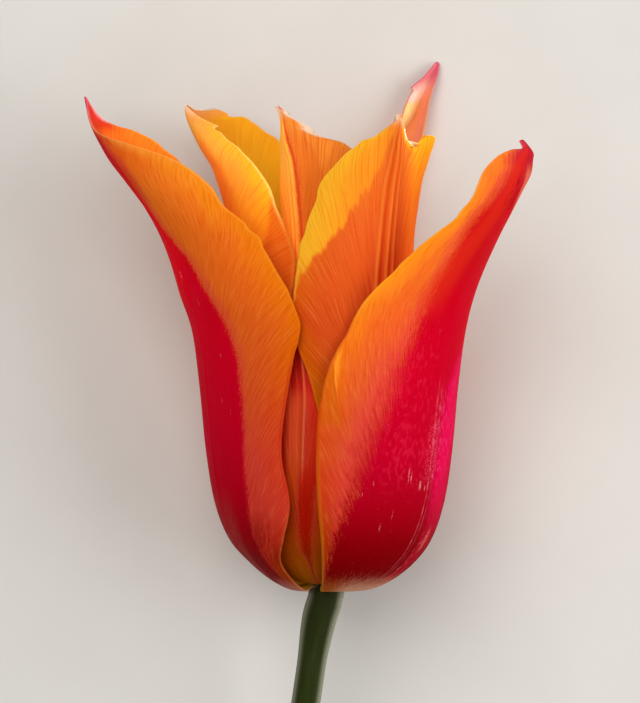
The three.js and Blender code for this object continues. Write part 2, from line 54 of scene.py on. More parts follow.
# The petals. Across a petal, t runs from -1 on its low margin to 1 on its high one. Along it, s runs from
# 0 at the claw to 1 at the tip. Each petal has:
# keel, how far the midrib stands out in the cup and above it
# ridges, the fine ones along it, as [t, height, half width, first s, last s]
# ruffle and nicks, how far its upper margins wave in and out and how deep they are nicked
# bumps, larger bumps and dents of the outline, as [side, s, half length, height], where the last two are
# shares of the petal's length and of its half width
# dip, a notch in its top edge, as [t, half width, depth, first s, deepest s, last s], with the half width
# in t and the depth as a share of the petal's length
# veins, how fast they lean away from the midrib for each mm along it, at the claw and at the tip, and how
# far out from it, in mm, they still run close together
# depth, how far inside the cup it lies at each of the cup's stations
# cup, the azimuths there of its low margin, midrib and high margin, in degrees from the viewer's side
# towards the right
# upper, the same three above the cup, as [x, y, height]
PETALS = [
    {
        "name": "petal_outer_left",
        "keel": [0, 0], "ruffle": 0.3, "nicks": 0.35, "veins": [0.06, 0.02, 7],
        "ridges": [[0, 0.12, 0.5, 0.05, 0.98]],
        "bumps": [[1, 0.715, 0.01, 0.018], [1, 0.73, 0.007, -0.018], [1, 0.845, 0.05, 0.07],
                  [1, 0.964, 0.024, -0.78]],
        "depth": [0, 0, 0.4, 0.7, 0.4, 0.1, 0, 0],
        "cup": [[-128, -96, -60], [-124, -86, -42], [-122, -80, -38], [-120, -76, -36], [-119, -72, -27],
                [-119, -70, -20], [-121, -70, -22.5], [-123, -70, -18]],
        "upper": [
            [[-18, 11.2, 40], [-20.6, -7.6, 41.2], [-4.4, -20.3, 41.2]],
            [[-19.2, 9, 47], [-22.6, -8, 46.8], [-5.9, -18.6, 46.7]],
            [[-20.6, 7, 52], [-24, -8.4, 51.4], [-8.3, -17.8, 51]],
            [[-21.8, 4.8, 57], [-25.8, -8.6, 55.6], [-10.7, -17, 55.6]],
            [[-22.3, 2.4, 62], [-28.6, -8.8, 60], [-15.9, -16, 60.4]],
            [[-22.8, 0.4, 67], [-32, -9, 64.5], [-20.6, -15.5, 64.7]],
            [[-26.5, -2, 70.6], [-34.7, -9, 68], [-25.8, -14.7, 68.4]],
            [[-29.9, -3.6, 72.8], [-36.3, -8.8, 70.8], [-30.9, -13.5, 70.3]],
            [[-33, -4.6, 73.6], [-37.3, -8.6, 72.8], [-34.2, -12.5, 71.5]],
            [[-36.2, -6.2, 75], [-38.1, -8.2, 74.8], [-36.6, -10.6, 73.8]],
            [[-38.6, -7.5, 78], [-38.8, -8, 78.2], [-38.6, -8.5, 77.9]],
        ],
    },
    {
        "name": "petal_outer_right",
        "keel": [0, 0], "ruffle": 0.35, "nicks": 0.4, "veins": [0.06, -0.03, 6],
        "ridges": [[-0.088, 0.12, 0.3, 0.08, 0.6], [-0.045, 0.12, 0.3, 0.06, 0.95],
                   [-0.93, 0.5, 0.45, 0.5, 0.575]],
        "bumps": [[-1, 0.74, 0.01, 0.018], [-1, 0.86, 0.01, 0.02]],
        "depth": [0, 0, 0, 0, 0, 0, 0, 0],
        "cup": [[-30, 34, 96], [-12.5, 44, 108], [-7.3, 50, 112], [-5, 54, 115], [-4.5, 57, 118],
                [-5.6, 60, 120], [-6.1, 61, 121], [-3.5, 62, 122]],
        "upper": [
            [[2.7, -20, 41.2], [19.4, -10.4, 41], [18, 10.2, 40]],
            [[5.9, -19.8, 46.3], [21, -10.8, 46.5], [19.6, 8, 46]],
            [[10.6, -19.5, 51], [23.2, -11.2, 51], [21.4, 5.6, 51]],
            [[16.7, -19, 56.6], [25.9, -11.8, 55.8], [24, 2.6, 56]],
            [[19.9, -18.6, 59.1], [28.2, -12.3, 59.6], [26.2, -0.4, 60]],
            [[22.3, -18.2, 62.6], [30.1, -12.8, 63.2], [28.4, -3, 63.6]],
            [[23.6, -17.6, 65.6], [31.3, -13, 65.8], [30, -5, 66]],
            [[26, -16.8, 68.3], [31.7, -13, 68], [31, -7.6, 68]],
            [[28.6, -15.4, 69.6], [31.9, -13, 69.2], [31.8, -10, 69]],
            [[30.4, -13.6, 69.8], [31.3, -13, 70.2], [31.6, -12.4, 70]],
            [[30, -13.5, 71], [30.4, -13.1, 71.2], [30.8, -12.8, 71]],
        ],
    },
    {
        "name": "petal_outer_back",
        "keel": [0, 0], "ruffle": 0.3, "nicks": 0.35, "veins": [0.05, 0.05, 3],
        "ridges": [[0, 0.1, 0.5, 0.2, 0.98]],
        "bumps": [[1, 0.966, 0.006, 0.14], [1, 0.955, 0.005, -0.08]],
        "depth": [0, 0, -0.6, -1.1, -1.1, -1.1, -1.1, -1.1],
        "cup": [[108, 167, 222], [118, 174, 228], [122, 177, 232], [122, 179, 236], [121, 180, 238],
                [120, 180, 239], [120, 180, 239], [121, 179, 238]],
        "upper": [
            [[18.8, 12.6, 41], [0.8, 21.4, 42], [-18.4, 12.6, 41]],
            [[14.4, 15, 49], [2.2, 21.4, 50], [-15.4, 13, 49]],
            [[12.4, 15.8, 57], [4.6, 21.4, 58], [-10.6, 15, 57]],
            [[13, 16.5, 64.5], [7.6, 21.4, 65.5], [-4, 17.4, 64.5]],
            [[15, 17, 70.5], [11, 21.2, 71.5], [6, 18.4, 70.5]],
            [[16, 17.4, 75.5], [13.8, 21, 76], [10.9, 17.4, 75]],
            [[16.7, 18, 79], [15, 20.6, 79], [12.2, 17.6, 78]],
            [[17.6, 18.8, 82], [16.4, 20.4, 82], [13.6, 18.2, 81]],
            [[18.1, 19.6, 84], [17.3, 20.4, 84], [15.6, 19, 83]],
            [[18.2, 20.1, 85], [17.8, 20.3, 85.4], [17.3, 20, 85.1]],
        ],
    },
    {
        "name": "petal_inner_left",
        "keel": [0, 0.3], "ruffle": 0.3, "nicks": 0.3, "veins": [0.06, 0.06, 3],
        "ridges": [[-0.02, 0.15, 0.4, 0.1, 0.97]],
        "bumps": [[1, 0.966, 0.005, 0.07], [1, 0.955, 0.006, -0.055], [1, 0.917, 0.012, 0.035],
                  [-1, 0.95, 0.006, -0.05], [-1, 0.938, 0.01, 0.03], [-1, 0.885, 0.01, 0.02]],
        "depth": [1.1, 1.1, 1.4, 1.7, 1.5, 1.2, 1.1, 1.1],
        "cup": [[-172, -125, -76], [-168, -120, -70], [-166, -116, -64], [-165, -113, -58],
                [-165, -111, -52], [-165, -110, -46], [-166, -110, -40], [-166, -109, -34]],
        "upper": [
            [[-5, 17.4, 41], [-17.2, 5.6, 41], [-8, -16.2, 41]],
            [[-5.2, 16.4, 48], [-16.6, 5.2, 48], [-5.2, -14.9, 48]],
            [[-5.4, 15.6, 54], [-16.2, 4.8, 53], [-5.2, -14, 53]],
            [[-5.6, 15, 59], [-15.9, 4.8, 57], [-6.3, -12.8, 56.6]],
            [[-6, 14.6, 64], [-16.3, 5, 61], [-7.8, -11.9, 60.4]],
            [[-6.4, 14.2, 68], [-17.4, 5, 64.8], [-9, -10.8, 63.6]],
            [[-7.7, 14, 71.5], [-18.6, 5.4, 68], [-11.2, -9, 66.8]],
            [[-9.9, 13.5, 73.5], [-20, 5.6, 70], [-13.4, -6.8, 69.3]],
            [[-13, 13, 75.6], [-21.2, 6, 72.2], [-15.7, -4, 71.2]],
            [[-15.7, 12.5, 76.3], [-22.2, 6.4, 74.2], [-17.6, -1.2, 73.3]],
            [[-18.3, 11.5, 77.3], [-22.9, 6.8, 75.8], [-19.2, 1.6, 74.6]],
            [[-20.9, 10, 77], [-23.2, 7.2, 76.8], [-21.2, 4.4, 75.8]],
            [[-23, 8.3, 77.6], [-23.1, 7.8, 77.8], [-23, 7.3, 77.5]],
        ],
    },
    {
        "name": "petal_inner_right",
        "keel": [0, 0.4], "ruffle": 0.25, "nicks": 0.5, "veins": [0.08, 0.015, 3],
        "ridges": [[-0.15, 0.3, 0.38, 0.5, 0.985], [-0.055, 0.42, 0.34, 0.3, 0.99],
                   [0.03, 0.34, 0.34, 0.5, 0.985]],
        "bumps": [[-1, 0.845, 0.05, 0.06], [-1, 0.952, 0.006, 0.07], [-1, 0.962, 0.005, -0.07],
                  [-1, 0.935, 0.006, -0.03], [1, 0.943, 0.006, 0.065], [1, 0.97, 0.014, -0.8]],
        "dip": [0.33, 0.25, 0.026, 0.89, 0.955, 0.985],
        "depth": [1.1, 1.1, 1.2, 1.2, 1.2, 1.2, 1.2, 1.2],
        "cup": [[50, 90, 140], [46, 84, 132], [40, 76, 124], [32, 68, 116], [22, 58, 108], [10, 48, 100],
                [-1, 40, 94], [-8, 34, 90]],
        "upper": [
            [[-6.4, -18, 42.8], [8.9, -16.6, 41.5], [16.2, -2, 41]],
            [[-5.8, -17.4, 46.8], [9.2, -15.2, 46.8], [14.4, -2.8, 46.5]],
            [[-5.3, -16.3, 51.8], [9.3, -14.4, 51.6], [13.2, -3.6, 52]],
            [[-4.1, -15.5, 56.7], [9.6, -13.6, 56.4], [13.5, -4.3, 56.7]],
            [[-2.2, -14.8, 61], [10, -13.2, 60.8], [14.2, -4.8, 61]],
            [[-1.2, -14.2, 64.8], [10.4, -13, 64.6], [14.9, -5.4, 65]],
            [[1.2, -13.9, 67.8], [10.8, -12.9, 67.6], [15.9, -6.4, 68.4]],
            [[3.9, -13.5, 70.5], [11, -12.8, 70], [16.7, -7.4, 71.4]],
            [[6.4, -13.2, 71.5], [11.1, -12.7, 71.8], [15, -9, 72]],
            [[9, -12.9, 73], [11.2, -12.6, 73.4], [12.9, -11, 70.4]],
            [[10.3, -12.7, 73.6], [11.1, -12.6, 74.6], [11.5, -12.3, 73.8]],
            [[10.5, -12.7, 75.1], [10.9, -12.6, 75.3], [11.3, -12.5, 75.1]],
        ],
    },
    {
        "name": "petal_inner_front",
        "keel": [0.4, 1], "ruffle": 0.25, "nicks": 0.6, "veins": [0.045, 0.045, 3],
        "ridges": [[-0.15, 0.32, 0.36, 0.5, 0.97], [-0.045, 0.4, 0.32, 0.15, 0.985]],
        "bumps": [[1, 0.995, 0.005, 0.6], [1, 0.98, 0.005, -0.5], [1, 0.966, 0.008, 0.2],
                  [1, 0.952, 0.004, -0.12], [1, 0.94, 0.006, 0.07]],
        "depth": [1.1, 1.3, 1.8, 2.5, 2.6, 2.5, 2.5, 2.5],
        "cup": [[-46, -15, 22], [-50, -15, 28], [-52, -15, 32], [-52, -14.5, 34], [-52, -14, 36],
                [-52, -13, 38], [-54, -11.5, 40], [-56, -10, 42]],
        "upper": [
            [[-12, -8.5, 41], [-4, -15.2, 42], [11, -11.4, 41]],
            [[-8.4, -5.4, 49], [-4, -12.8, 50], [10, -9.6, 49]],
            [[-6, -3, 56], [-4.1, -11.8, 57], [9, -8.6, 56]],
            [[-6.2, -1.5, 62], [-4.6, -11, 63], [8, -8.2, 62]],
            [[-6.4, -2.4, 67], [-5.2, -10.6, 68], [6, -8.6, 67]],
            [[-6.6, -4, 70.4], [-6.1, -10.2, 71.2], [3.3, -9, 70.4]],
            [[-6.8, -5.6, 72.3], [-6.6, -9.8, 73], [-1, -9, 71.8]],
            [[-7.1, -6.8, 74], [-7.2, -9.2, 74.8], [-4.2, -9, 74]],
            [[-8.5, -8.2, 76.5], [-8.3, -8.5, 76.8], [-7.9, -8.8, 76.6]],
        ],
    },
]

# Petals' mesh and thickness
PETAL_ROWS = 170  # mesh steps from the claw to the tip
PETAL_COLUMNS = 110  # mesh steps from margin to margin
COLUMN_CROWDING = 1.2  # above 1, columns crowd towards the midrib
LENGTH_SAMPLES = 401  # points at which a midrib's length is measured
PETAL_THICKNESS = 0.7
MARGIN_THINNESS = 0.35  # share of the thickness that is left at a petal's margins
THINNING = [0.6, 0.93]  # t and s from which a petal gets thinner

# Petals' relief
KEEL_WIDTH = 1.6
KEEL_STATIONS = 3  # stations over which the keel changes its height
RIDGE_RISE = 0.12  # share of the petal's length over which a ridge rises
RIDGE_FALL = 0.05
RUFFLE_LENGTH = 9  # of one wave along the margin
RUFFLED = [0.35, 0.6, 0.93]  # s where ruffles and nicks begin, are full and start to fade
RUFFLE_HOLD = 6  # the higher, the closer ruffles and nicks keep to the margin
NICK_LENGTH = 5.5
NICK_MIDDLE = 0.6  # mean cut, as a share of the nicks' depth
SMALL_NICKS = [0.5, 0.4]  # depth and length of the small nicks, as shares of the large ones'
NICKED_WIDTH = 2  # near the tip the nicks are cut as if half the petal were at least this wide
SIDE_SHIFT = 7.3  # how far either way in the noise the waves of a petal's two margins are drawn
SWELL = 0.1  # height of the slow swells in a petal's face
SWELL_LENGTH = 9
SWELLING = [0.05, 0.2]  # s where the swells begin and are full

# Stem and receptacle
MERGE_DISTANCE = 1e-7  # between points of a round piece's seam, in metres
STEM_PATH = [[-23.6, 18.35, -168], [-22.4, 18.3, -156], [-18.6, 16, -122], [-13.8, 12, -86], [-8, 6.6, -48],
             [-3.7, 2, -18.5], [-1.55, 0.4, -5]]
STEM_TOP = [-0.45, 0, -1.4]
STEM_SAMPLES = 600  # points at which the stem's length is measured
STEM_RADIUS = 2.35
STEM_END_RADIUS = 2.6
STEM_TAPER = 1.6  # the wider end is gone at 1 / 1.6 of the stem's length
STEM_FLARE = [0.93, 0.99]  # shares of its length between which the stem widens to the receptacle
STEM_SIDES = 56
STEM_RINGS = 240
STEM_RIBS = 9
STEM_RIB_HEIGHT = 0.035
STEM_RIB_TWIST = 3
CUT_SLANT = 1.2  # rise of the cut across half the stem
CUT_RIM = 0.35
CUT_DIP = 0.12
# The receptacle, from the stem's top upwards, as [height, radius]
RECEPTACLE = [[-1, 2.85], [-0.3, 2.85], [0.02, 2.7], [0.1, 2.3], [3.3, 2.3], [3.7, 4.4], [4.1, 4.8],
              [4.5, 4.4]]
RECEPTACLE_STEPS = 4  # mesh rings from one station to the next
RECEPTACLE_SHIFT = [-0.6, 0.2]  # heights between which it moves from the stem's top to the flower's axis

# Pistil
PISTIL_BASE = 4.8
# The ovary and stigma as [height, radius, how far the three angles stand out]
PISTIL = [[0, 1.7, 0], [1, 2.3, 0.15], [5, 2.9, 0.3], [11, 2.8, 0.35], [16.5, 2.2, 0.35], [18.2, 2, 0.4],
          [19.3, 2.9, 0.9], [20.6, 3.6, 1.3], [21.6, 3.3, 1.3], [22, 2.2, 0.9]]
PISTIL_REACH = 4.9  # of its widest angle from the flower's axis
PISTIL_ANGLES = 3
PISTIL_SIDES = 96
PISTIL_STEPS = 10
STIGMA = [18, 20]  # heights where the stigma's folds begin and are full
FRILLS = 27  # small folds round the stigma
FRILL_DEPTH = 0.16

# Stamens
STAMEN_AZIMUTHS = [-68, -8, 52, 112, 172, 232]
# Each has a stalk, the filament, and an anther on it, as [distance from the axis, height, own radius]
FILAMENT = [[3.5, 3.9, 0.75], [4.5, 8.5, 0.85], [5.6, 12.5, 0.65], [6.3, 16.3, 0.5]]
ANTHER = [[6.2, 15.5, 0.75], [6.4, 16.6, 1.15], [6.9, 21, 1.3], [7.3, 25.5, 1.1], [7.45, 28, 0.5]]
STALK_SIDES = 32
STALK_STEPS = 12
ANTHER_GROOVE = [0.3, 3]  # share of the radius lost between its two lobes, and how narrow the groove is
ANTHER_SEAM = [0.06, 12]  # the same for the seam along each lobe
POLLEN_HEIGHT = 0.05
POLLEN_GRAINS = [4, 2.5]  # how close they lie round an anther and along it

# Table, camera and light. The camera's numbers are laid out like the flower.
TABLE_HALF = 2  # of its side, in metres
VIEW_HEIGHT = 112.5  # that the picture spans at the flower's axis
VIEW_CENTRE = [-1.44, 37.84]  # across and up from the top of the stem
CAMERA_DISTANCE = 800
SENSOR = 36
FLOWER_MIDDLE = Vector((0, 80, 20)) * MM
AIR_STRENGTH = 0.27
# Each light's place and size, in millimetres over the table, and its power and colour
LIGHTS = {
    "key": [[-250, 420, 880], 760, 5.7, (1, 0.98, 0.95)],
    "fill": [[600, 60, 420], 600, 3.4, (1, 1, 1)],
}


def smooth_step(value, low, high):
    share = np.clip((value - low) / (high - low), 0, 1)
    return share * share * (3 - 2 * share)


# Shape of the petals


def polar(point, near):
    """[azimuth, radius, height] of a point, with its azimuth within half a turn of a given one."""
    x, y, height = point
    azimuth = math.degrees(math.atan2(x, -y))
    turns = round((near - azimuth) / 360)
    return [azimuth + 360 * turns, math.hypot(x, y), height]


def cup_station(i, depth):
    """A station of the cup, moved inwards to a layer's depth."""
    before = np.array(CUP[max(i - 1, 0)])
    after = np.array(CUP[min(i + 1, len(CUP) - 1)])
    along = (after - before) / np.linalg.norm(after - before)
    radius = CUP[i][0] - depth * along[1] if i else CUP[i][0]
    return [radius, CUP[i][1] + depth * along[0]]


def petal_rows(petal):
    """The rows of low margin, midrib and high margin that a petal hangs on, as polar points."""
    rows = []
    for i, azimuths in enumerate(petal["cup"]):
        station = cup_station(i, petal["depth"][i])
        rows.append([[azimuth, *station] for azimuth in azimuths])
    for row in petal["upper"]:
        rows.append([polar(point, below[0]) for point, below in zip(row, rows[-1])])
    return np.array(rows, float)


def smooth_line(values, position):
    """The values of a smooth line through a list, at positions counted in list steps."""
    last = len(values) - 1
    i = np.clip(np.floor(position).astype(int), 0, last - 1)
    f = (position - i).reshape([-1] + [1] * (values.ndim - 1))
    a, b, c, d = (values[np.clip(i + k, 0, last)] for k in (-1, 0, 1, 2))
    return b + 0.5 * f * (c - a + f * (2 * a - 5 * b + 4 * c - d + f * (3 * (b - c) + d - a)))


def petal_point(rows, position, t):
    """Points of a petal's outer face at row positions, and at t across it."""
    low, mid, high = np.moveaxis(smooth_line(rows, position), 1, 0)
    t = np.reshape(t, (-1, 1))
    azimuth, radius, height = (mid + 0.5 * t * (high - low + t * (high + low - 2 * mid))).T
    turn = np.radians(azimuth)
    return np.stack([radius * np.sin(turn), -radius * np.cos(turn), height], 1)


def lengths_along(rows):
    """Row positions from claw to tip, and the midrib's length up to each."""
    positions = np.linspace(0, len(rows) - 1, LENGTH_SAMPLES)
    points = petal_point(rows, positions, np.zeros(LENGTH_SAMPLES))
    steps = np.linalg.norm(np.diff(points, axis=0), axis=1)
    return positions, np.concatenate([[0], np.cumsum(steps)])


def half_widths(rows, position):
    """Half of a petal's width at row positions, measured by its midrib and margins."""
    low, mid, high = (petal_point(rows, position, np.full(len(position), t)) for t in (-1, 0, 1))
    return 0.5 * (np.linalg.norm(high - mid, axis=1) + np.linalg.norm(mid - low, axis=1))


def keel_height(petal, position, last):
    """How far the midrib stands out: it changes above the cup and fades out at both ends."""
    in_cup, above = petal["keel"]
    rise = np.clip((position - len(CUP) + 1) / KEEL_STATIONS, 0, 1)
    fade = np.minimum(np.minimum(position, last - position) / KEEL_STATIONS, 1)
    return fade * (in_cup + rise * (above - in_cup))


def ridge(t, s, width, line):
    """The height of one fine ridge over a petal's face."""
    centre, height, half_width, first, last = line
    distance = (t - centre) * width / half_width
    ends = smooth_step(s, first, first + RIDGE_RISE) * (1 - smooth_step(s, last - RIDGE_FALL, last))
    return height * ends * np.exp(-distance * distance)


def swells(across, along, seed):
    """Slow swells in a petal's face."""
    spots = zip(across / SWELL_LENGTH, along / (2 * SWELL_LENGTH))
    return SWELL * np.array([noise.noise((x, y, seed)) for x, y in spots])


def margin_waves(along, side, length, seed):
    """Uneven waves along a margin, from -1 to 1, and others on the other side."""
    return np.array([noise.noise((y / length, SIDE_SHIFT * x, seed)) for y, x in zip(along, side)])


def outline_reach(petal, side, s, along, width, ruffled, seed):
    """How far out the margins reach, as a share of the half width, with their nicks and bumps."""
    small_depth, small_length = SMALL_NICKS
    cut = NICK_MIDDLE + margin_waves(along, side, NICK_LENGTH, seed)
    cut += small_depth * margin_waves(along, side, small_length * NICK_LENGTH, seed + 5)
    reach = 1 - ruffled * petal["nicks"] * cut / np.maximum(width, NICKED_WIDTH)
    for bump_side, centre, half_length, height in petal["bumps"]:
        bump = np.exp(-(((s - centre) / half_length) ** 4))
        reach = reach * (1 + height * (side == bump_side) * bump)
    return reach


def top_dip(petal, t, s):
    """How far, as a share of the petal's length, the surface sinks to make the notch in its top edge."""
    if "dip" not in petal:
        return 0 * s
    centre, half_width, depth, first, deepest, last = petal["dip"]
    across = np.exp(-(((t - centre) / half_width) ** 2))
    return depth * across * smooth_step(s, first, deepest) * (1 - smooth_step(s, deepest, last))


def outward_directions(rows, position, t):
    """The directions in which a petal's outer face looks."""
    step = 0.01
    up = petal_point(rows, np.minimum(position + step, len(rows) - 1), t)
    up -= petal_point(rows, np.maximum(position - step, 0), t)
    across = petal_point(rows, position, t + step) - petal_point(rows, position, t - step)
    outwards = np.cross(across, up)
    return outwards / np.linalg.norm(outwards, axis=1)[:, None]


def petal_surface(petal, t, s, seed):
    """A petal's outer face at t and s, kept above the table, with three pairs of surface coordinates."""
    rows = petal_rows(petal)
    positions, lengths = lengths_along(rows)
    along = s * lengths[-1]
    width = half_widths(rows, np.interp(along, lengths, positions))
    start, full, fade = RUFFLED
    ruffled = np.abs(t) ** RUFFLE_HOLD * smooth_step(s, start, full) * (1 - smooth_step(s, fade, 1))
    side = np.sign(t)
    face_spots = np.stack([0.5 * (t + 1), s], 1)

    t = t * outline_reach(petal, side, s, along, width, ruffled, seed)
    sunk = s - top_dip(petal, t, s)
    position = np.interp(sunk * lengths[-1], lengths, positions)
    here = petal_point(rows, position, t)

    offset = np.linalg.norm(here - petal_point(rows, position, 0 * t), axis=1) / KEEL_WIDTH
    relief = keel_height(petal, position, len(rows) - 1) * np.exp(-offset * offset)
    for line in petal["ridges"]:
        relief += ridge(t, s, width, line)
    relief += ruffled * petal["ruffle"] * margin_waves(along, side, RUFFLE_LENGTH, seed + 20)
    relief += swells(t * width, along, seed) * smooth_step(s, *SWELLING)
    here += relief[:, None] * outward_directions(rows, position, t)
    here[:, 1] = np.minimum(here[:, 1], AXIS_HEIGHT)

    claw_lean, tip_lean, core = petal["veins"]
    out = np.abs(t) * width
    fan = np.arcsinh(out / core) - (claw_lean + 0.5 * (tip_lean - claw_lean) * s) * along
    return here, face_spots, np.stack([fan, along], 1), np.stack([out, width], 1)


# Placing and making pieces

pistil_low, pistil_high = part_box("pistil")
AXIS_X = pistil_high.x / MM - PISTIL_REACH
AXIS_Y = pistil_low.y / MM - PISTIL_BASE


def laid_down(points):
    """Upright flower points, in millimetres, as points of the flower that lies down, in metres."""
    points = np.asarray(points)
    placed = [points[:, 0] + AXIS_X, points[:, 2] + AXIS_Y, AXIS_HEIGHT - points[:, 1]]
    return np.stack(placed, 1) * MM


def add_object(name, data):
    added = bpy.data.objects.new(name, data)
    bpy.context.scene.collection.objects.link(added)
    return added


def add_mesh(name, bm, finishes):
    mesh = bpy.data.meshes.new(name)
    bm.to_mesh(mesh)
    bm.free()
    for finish in finishes:
        mesh.materials.append(finish)
    return add_object(name, mesh)


def add_piece(name, bm, finishes):
    """A finished mesh as a piece of the flower, shaded smooth and attached to the root."""
    piece = add_mesh(name, bm, finishes)
    piece.data.shade_smooth()
    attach(piece, "root")
    return piece


def write_coordinates(bm, layer_name, values):
    """Surface coordinates for a mesh, from one pair of values for each of its points."""
    layer = bm.loops.layers.uv.new(layer_name)
    for face in bm.faces:
        for loop in face.loops:
            loop[layer].uv = values[loop.vert.index]


def make_petal(petal, finishes, slot, seed):
    bm = bmesh.new()
    bmesh.ops.create_grid(bm, x_segments=PETAL_COLUMNS, y_segments=PETAL_ROWS, size=1)
    grid = np.array([vert.co for vert in bm.verts])
    t = np.sign(grid[:, 0]) * np.abs(grid[:, 0]) ** COLUMN_CROWDING
    s = 0.5 * (grid[:, 1] + 1)
    points, face_spots, vein_spots, spread_spots = petal_surface(petal, t, s, seed)
    for vert, point in zip(bm.verts, laid_down(points)):
        vert.co = point
    write_coordinates(bm, "petal", face_spots)
    write_coordinates(bm, "veins", vein_spots)
    write_coordinates(bm, "spread", spread_spots)
    piece = add_piece(petal["name"] + "_grown", bm, finishes)

    thickness = piece.vertex_groups.new(name="thickness")
    thin_side, thin_tip = THINNING
    thinned = np.maximum(smooth_step(np.abs(t), thin_side, 1), smooth_step(s, thin_tip, 1))
    for i, share in enumerate(1 - (1 - MARGIN_THINNESS) * thinned):
        thickness.add([i], float(share), "REPLACE")
    shell = piece.modifiers.new("thickness", "SOLIDIFY")
    shell.thickness = PETAL_THICKNESS * MM
    shell.offset = -1
    shell.vertex_group = "thickness"
    shell.use_quality_normals = True
    shell.material_offset = 1
    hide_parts(petal["name"])


def make_tube(rings):
    """A closed round mesh through rings of points, with surface coordinates round and along it."""
    count, sides = len(rings), len(rings[0])
    bm = bmesh.new()
    bmesh.ops.create_grid(bm, x_segments=sides, y_segments=count - 1, size=1)
    grid = np.array([vert.co for vert in bm.verts])
    spots = 0.5 * (grid[:, :2] + 1)
    column = np.round(spots[:, 0] * sides).astype(int) % sides
    row = np.round(spots[:, 1] * (count - 1)).astype(int)
    for vert, point in zip(bm.verts, laid_down(rings[row, column])):
        vert.co = point
    write_coordinates(bm, "surface", spots)
    bmesh.ops.remove_doubles(bm, verts=bm.verts, dist=MERGE_DISTANCE)
    bmesh.ops.holes_fill(bm, edges=[edge for edge in bm.edges if edge.is_boundary], sides=0)
    bmesh.ops.recalc_face_normals(bm, faces=bm.faces)
    return bm


# Stem, stamens and pistil


def stem_centre(position):
    """A point of the stem's path, at a position counted in path steps, and the path's direction there."""
    path = np.array([*STEM_PATH, STEM_TOP], float)
    path = np.concatenate([[2 * path[0] - path[1]], path, [2 * path[-1] - path[-2]]])
    i = min(int(position), len(path) - 4)
    f = position - i
    a, b, c, d = path[i : i + 4]
    before, here, after = (np.sqrt(np.linalg.norm(step)) for step in (b - a, c - b, d - c))
    leave = here * ((b - a) / before - (c - a) / (before + here) + (c - b) / here)
    arrive = here * ((c - b) / here - (d - b) / (here + after) + (d - c) / after)
    e = 2 * (b - c) + leave + arrive
    g = 3 * (c - b) - 2 * leave - arrive
    point = b + f * (leave + f * (g + f * e))
    along = leave + f * (2 * g + 3 * f * e)
    return point, along / np.linalg.norm(along)


def round_points(sides):
    """Angles evenly round a piece."""
    return np.linspace(0, 2 * math.pi, sides, endpoint=False)


def smooth_profile(profile, steps):
    """A profile with more stations on a smooth line through its own."""
    count = (len(profile) - 1) * steps
    return smooth_line(np.array(profile, float), np.linspace(0, len(profile) - 1, count + 1))


def stem_ring(f, position, turn):
    """The stem's ribbed ring at a share f of its length, kept above the table."""
    centre, along = stem_centre(position)
    across = np.cross(along, [1, 0, 0])
    across /= np.linalg.norm(across)
    side = np.cross(across, along)
    radius = STEM_END_RADIUS + (STEM_RADIUS - STEM_END_RADIUS) * min(f * STEM_TAPER, 1)
    radius += (RECEPTACLE[0][1] - STEM_RADIUS) * smooth_step(f, *STEM_FLARE)
    radius = radius - STEM_RIB_HEIGHT * (1 - np.cos(STEM_RIBS * turn + STEM_RIB_TWIST * f))
    ring = centre + np.outer(radius * np.cos(turn), side) + np.outer(radius * np.sin(turn), across)
    if f == 0:
        ring += np.outer(CUT_SLANT * np.cos(turn), along)
    ring[:, 1] = np.minimum(ring[:, 1], AXIS_HEIGHT)
    return ring


def stem_rings():
    turn = round_points(STEM_SIDES)
    samples = np.linspace(0, len(STEM_PATH), STEM_SAMPLES)
    points = np.array([stem_centre(position)[0] for position in samples])
    lengths = np.concatenate([[0], np.cumsum(np.linalg.norm(np.diff(points, axis=0), axis=1))])
    rings = []
    for f in np.arange(STEM_RINGS) / STEM_RINGS:
        rings.append(stem_ring(f, np.interp(f * lengths[-1], lengths, samples), turn))
    for height, radius in smooth_profile(RECEPTACLE, RECEPTACLE_STEPS):
        shift = STEM_TOP[0] * (1 - smooth_step(height, *RECEPTACLE_SHIFT))
        ring = [shift + radius * np.cos(turn), radius * np.sin(turn), np.full(STEM_SIDES, height)]
        rings.append(np.stack(ring, 1))
    return np.array(rings)


def stalk_rings(profile, azimuth, shape_at):
    """Rings of a stalk that leans outwards at one azimuth."""
    turn = math.radians(azimuth)
    outwards = np.array([math.sin(turn), -math.cos(turn), 0])
    sideways = np.array([math.cos(turn), math.sin(turn), 0])
    angle = round_points(STALK_SIDES)
    rings = []
    for out, height, radius in smooth_profile(profile, STALK_STEPS):
        reach = radius * shape_at(angle, height)
        ring = np.outer(-reach * np.cos(angle), sideways) + np.outer(out + reach * np.sin(angle), outwards)
        ring[:, 2] += height
        rings.append(ring)
    return np.array(rings)


def two_lobes(angle, height):
    """An anther's section: two lobes with a groove between them and a seam each, grainy with pollen."""
    groove, groove_hold = ANTHER_GROOVE
    seam, seam_hold = ANTHER_SEAM
    section = 1 - groove * np.abs(np.sin(angle)) ** groove_hold - seam * np.abs(np.cos(angle)) ** seam_hold
    close, up = POLLEN_GRAINS
    places = [(close * math.cos(a), close * math.sin(a), up * height) for a in angle]
    return section + POLLEN_HEIGHT * np.array([noise.noise(place) for place in places])


def plain_round(angle, height):
    return np.ones(len(angle))


def pistil_rings():
    turn = round_points(PISTIL_SIDES)
    rings = []
    for height, radius, angled in smooth_profile(PISTIL, PISTIL_STEPS):
        frill = FRILL_DEPTH * smooth_step(height, *STIGMA)
        reach = radius + angled * np.cos(PISTIL_ANGLES * turn) + frill * (np.cos(FRILLS * turn) - 1)
        level = np.full(PISTIL_SIDES, PISTIL_BASE + height)
        rings.append(np.stack([reach * np.cos(turn), reach * np.sin(turn), level], 1))
    return np.array(rings)


